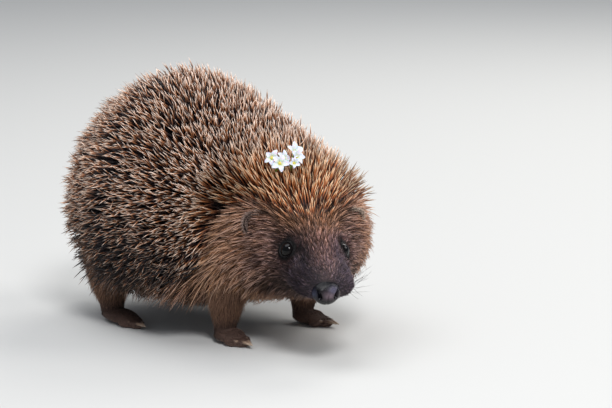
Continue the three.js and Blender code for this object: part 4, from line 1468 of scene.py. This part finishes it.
# %% Whiskers
pad_whiskers, brow_whiskers = 22, 4  # on each side
for name, hand in sides.items():
    at = np.concatenate([rng.uniform(5, 15, pad_whiskers), rng.uniform(22, 27, brow_whiskers)])
    degrees = np.concatenate([rng.uniform(74, 118, pad_whiskers), rng.uniform(34, 42, brow_whiskers)])
    spots = spots_on_body(at, hand * np.radians(degrees))
    spots["lie"] = unit(spots["back"] + spots["down"] * rng.uniform(-0.25, 0.5, (len(at), 1)))
    length = np.interp(at, [5, 15, 22, 27], [10, 17, 7, 7])
    lift = np.where(at < 20, rng.uniform(34, 58, len(at)), 24)
    tone = paint(58, 48, 46)
    short_hairs(f"whiskers_{name}", spots, length, 0.14, lift, tone, "face_fur", long_rings, bend=0.5)

# %% [markdown]
# ## The flowers
# Two sprigs of small white flowers are caught in the spines of the crown. Each floret has five
# pointed petals round a yellow-green middle. A petal is one curved sheet with some thickness: a
# grid whose outline swells and comes to a point, cupped along its middle and bent back at its tip.

# %% Petals and stems
petal_rings, petal_facets = np.linspace(0.02, 0.98, 9), 14
stem_rings, stem_facets = np.linspace(0, 1, 10), 8
petals_each = 5


def petal(length, width):
    """A closed grid: its cross-section is a thin lens that follows the petal's outline and cup."""
    t = petal_rings[:, None]
    turn = np.arange(petal_facets) / petal_facets * 2 * np.pi
    half = width / 2 * (np.sin(np.pi * t**0.85) ** 0.62) * (1 - 0.1 * t)
    side = half * np.cos(turn)
    cup, arch = 0.55 * (side / (width / 2)) ** 2, 1.7 * t
    rise = cup + arch - 1.5 * t**2.4 + 0.14 * np.sin(turn) * half / (width / 2)
    grid = np.stack([length * t + 0 * turn, side, rise], -1)
    return closed_grid(grid, [[0, 0, 0], [length, 0, 0.25]])


def turned(points, turn_z, tilt_x, tilt_y):
    """Points turned about z, then tilted about x and about y."""
    for angle, (i, j) in ((turn_z, (0, 1)), (tilt_x, (1, 2)), (tilt_y, (2, 0))):
        c, s = np.cos(angle), np.sin(angle)
        a, b = points[:, i], points[:, j]
        points = points.copy()
        points[:, i], points[:, j] = c * a - s * b, s * a + c * b
    return points


def flower_parts(hand, at, degrees, closed, layout):
    """The petals, middles and stems of one sprig, each as (points, faces), in place."""
    at, around = np.array([float(at)]), np.array([hand * np.radians(degrees)])
    foot, out = on_grid(outer, at, around)[0], unit(on_grid(outward, at, around))[0]
    first = unit(np.cross(out, [0, 0, 1]) + 1e-6)
    second = np.cross(out, first)

    def in_place(points, faces):
        """A form given in millimetres over the coat, moved to the sprig's foot."""
        points = foot + mm * (points[:, 0:1] * first + points[:, 1:2] * second + points[:, 2:] * out)
        return facing_out(points, faces)

    petals, middles, stems = [], [], []
    for x, y, tilt_x, tilt_y, size in layout:
        base = np.array([x, y, 3.6 + rng.uniform(-0.4, 0.6)])
        spin = rng.uniform(0, 2 * np.pi)
        for k in range(petals_each):
            points, faces = petal(size * rng.uniform(4.0, 5.0), size * rng.uniform(3.0, 3.7))
            points = turned(points + [0.35, 0, 0], 0, 0, -closed)
            points = turned(points, spin + k * 2 * np.pi / petals_each + rng.normal(0, 0.08), 0, 0)
            petals.append(in_place(turned(points, 0, tilt_x, tilt_y) + base, faces))
        points, faces = egg([0, 0, 0.45], [0.8, 0.8, 0.55], rows=8, columns=12)
        middles.append(in_place(turned(points, 0, tilt_x, tilt_y) + base, faces))
        t = stem_rings[:, None]
        path = base * [1, 1, 0] * t**1.4 + [0.8, 0.5, 0] * np.sin(np.pi * t)
        path = path + [0, 0, 1] * (-6.5 + (base[2] + 6.4) * t)
        stems.append(in_place(*tube(path, np.full(len(t), 0.34), stem_facets)))
    return petals, middles, stems


# %% Two sprigs
# distance back, degrees round, how far the petals close, and each floret's offsets, tilts and size
sprigs = {
    "right": (57.5, 8, 0.15, [
        (-2.9, -2.8, -0.35, -0.5, 0.95), (2.5, -3.3, -0.3, 0.5, 0.9), (-0.2, 0.6, -0.5, 0.1, 0.92)]),
    "left": (59, 0, 0.45, [
        (-1.0, -3.8, -0.25, -0.2, 1.12), (-0.3, 0.0, -0.5, -0.3, 0.95), (2.2, 3.4, -0.6, 0.2, 0.66)]),
}
for name, sprig in sprigs.items():
    petals, middles, stems = flower_parts(sides[name], *sprig)
    share = shares_along(petal_rings, petal_facets, len(petals))
    whole = new_piece(f"petals_{name}", *joined(petals), petal_finish, "petals", {"Along": share})
    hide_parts(f"flower_{name}")
    share = np.full(sum(len(points) for points, faces in middles), 0.5)
    new_piece(f"flower_middles_{name}", *joined(middles), middle_finish, "petals", {"Along": share})
    share = shares_along(stem_rings, stem_facets, len(stems))
    new_piece(f"stems_{name}", *joined(stems), stem_finish, "stems", {"Along": share})

# %% [markdown]
# ## Floor, lights and camera
# The floor is a plain pale sheet. Four area lamps and a pale sky give soft light, most of it from
# above. The camera stands ahead of the animal, to its right and a little above it.

# %% Floor
floor_mesh = bpy.data.meshes.new("floor")
floor_mesh.from_pydata([(-6, -6, 0), (6, -6, 0), (6, 6, 0), (-6, 6, 0)], [], [(0, 1, 2, 3)])
floor = bpy.data.objects.new("floor", floor_mesh)
bpy.context.scene.collection.objects.link(floor)
floor_finish, tree, shader = material("Floor", Roughness=0.9)
shader.inputs["Base Color"].default_value = (0.62, 0.62, 0.60, 1)
floor_mesh.materials.append(floor_finish)

# %% Camera
from mathutils import Matrix, Vector


def looking(stand, aim):
    """A matrix for a camera or lamp that stands at one point and looks at another, upright."""
    way = (Vector(aim) - Vector(stand)).to_track_quat("-Z", "Y")
    return Matrix.Translation(stand) @ way.to_matrix().to_4x4()


azimuth, elevation = np.radians(-48.7), np.radians(10.8)
distance = 1.365
back = np.array([
    np.sin(azimuth) * np.cos(elevation), -np.cos(azimuth) * np.cos(elevation), np.sin(elevation)])
right = unit(np.cross(-back, [0, 0, 1]))
over = np.cross(right, -back)
target = place(middle, 0, 67)
aim = target + 53.3 * mm * right - 8.45 * mm * over  # past the animal, which stands left and high
camera_data = bpy.data.cameras.new("camera")
camera_data.lens, camera_data.sensor_width = 160.6, 36
camera = bpy.data.objects.new("camera", camera_data)
bpy.context.scene.collection.objects.link(camera)
camera.matrix_world = looking(target + distance * back, aim)
bpy.context.scene.camera = camera
print("camera at", (target + distance * back).round(3))

# %% Lamps and sky
def lamp(name, where, power, size, colour):
    """A square area lamp that looks at the animal."""
    data = bpy.data.lights.new(name, "AREA")
    data.energy, data.size, data.color = power, size, colour
    made = bpy.data.objects.new(name, data)
    bpy.context.scene.collection.objects.link(made)
    made.matrix_world = looking(where, (0, -0.02, 0.06))
    print(f"{name} lamp: {power} W, {size} m wide")


lamp("key", (-0.6, -0.76, 1.05), 10.8, 0.34, (0.98, 0.98, 1))
lamp("top", (-0.2, 0.3, 1.4), 9, 1.0, (0.97, 0.98, 1))
lamp("side", (0.75, -0.85, 0.95), 6.5, 0.6, (1, 0.98, 0.95))
lamp("rim", (0.95, 0.2, 0.85), 5.5, 0.6, (1, 0.98, 0.95))
world = bpy.data.worlds.new("studio")
bpy.context.scene.world = world
world.use_nodes = True
world.node_tree.nodes["Background"].inputs["Color"].default_value = (0.85, 0.9, 1, 1)
world.node_tree.nodes["Background"].inputs["Strength"].default_value = 0.35

bpy.context.scene.view_settings.view_transform = "Standard"
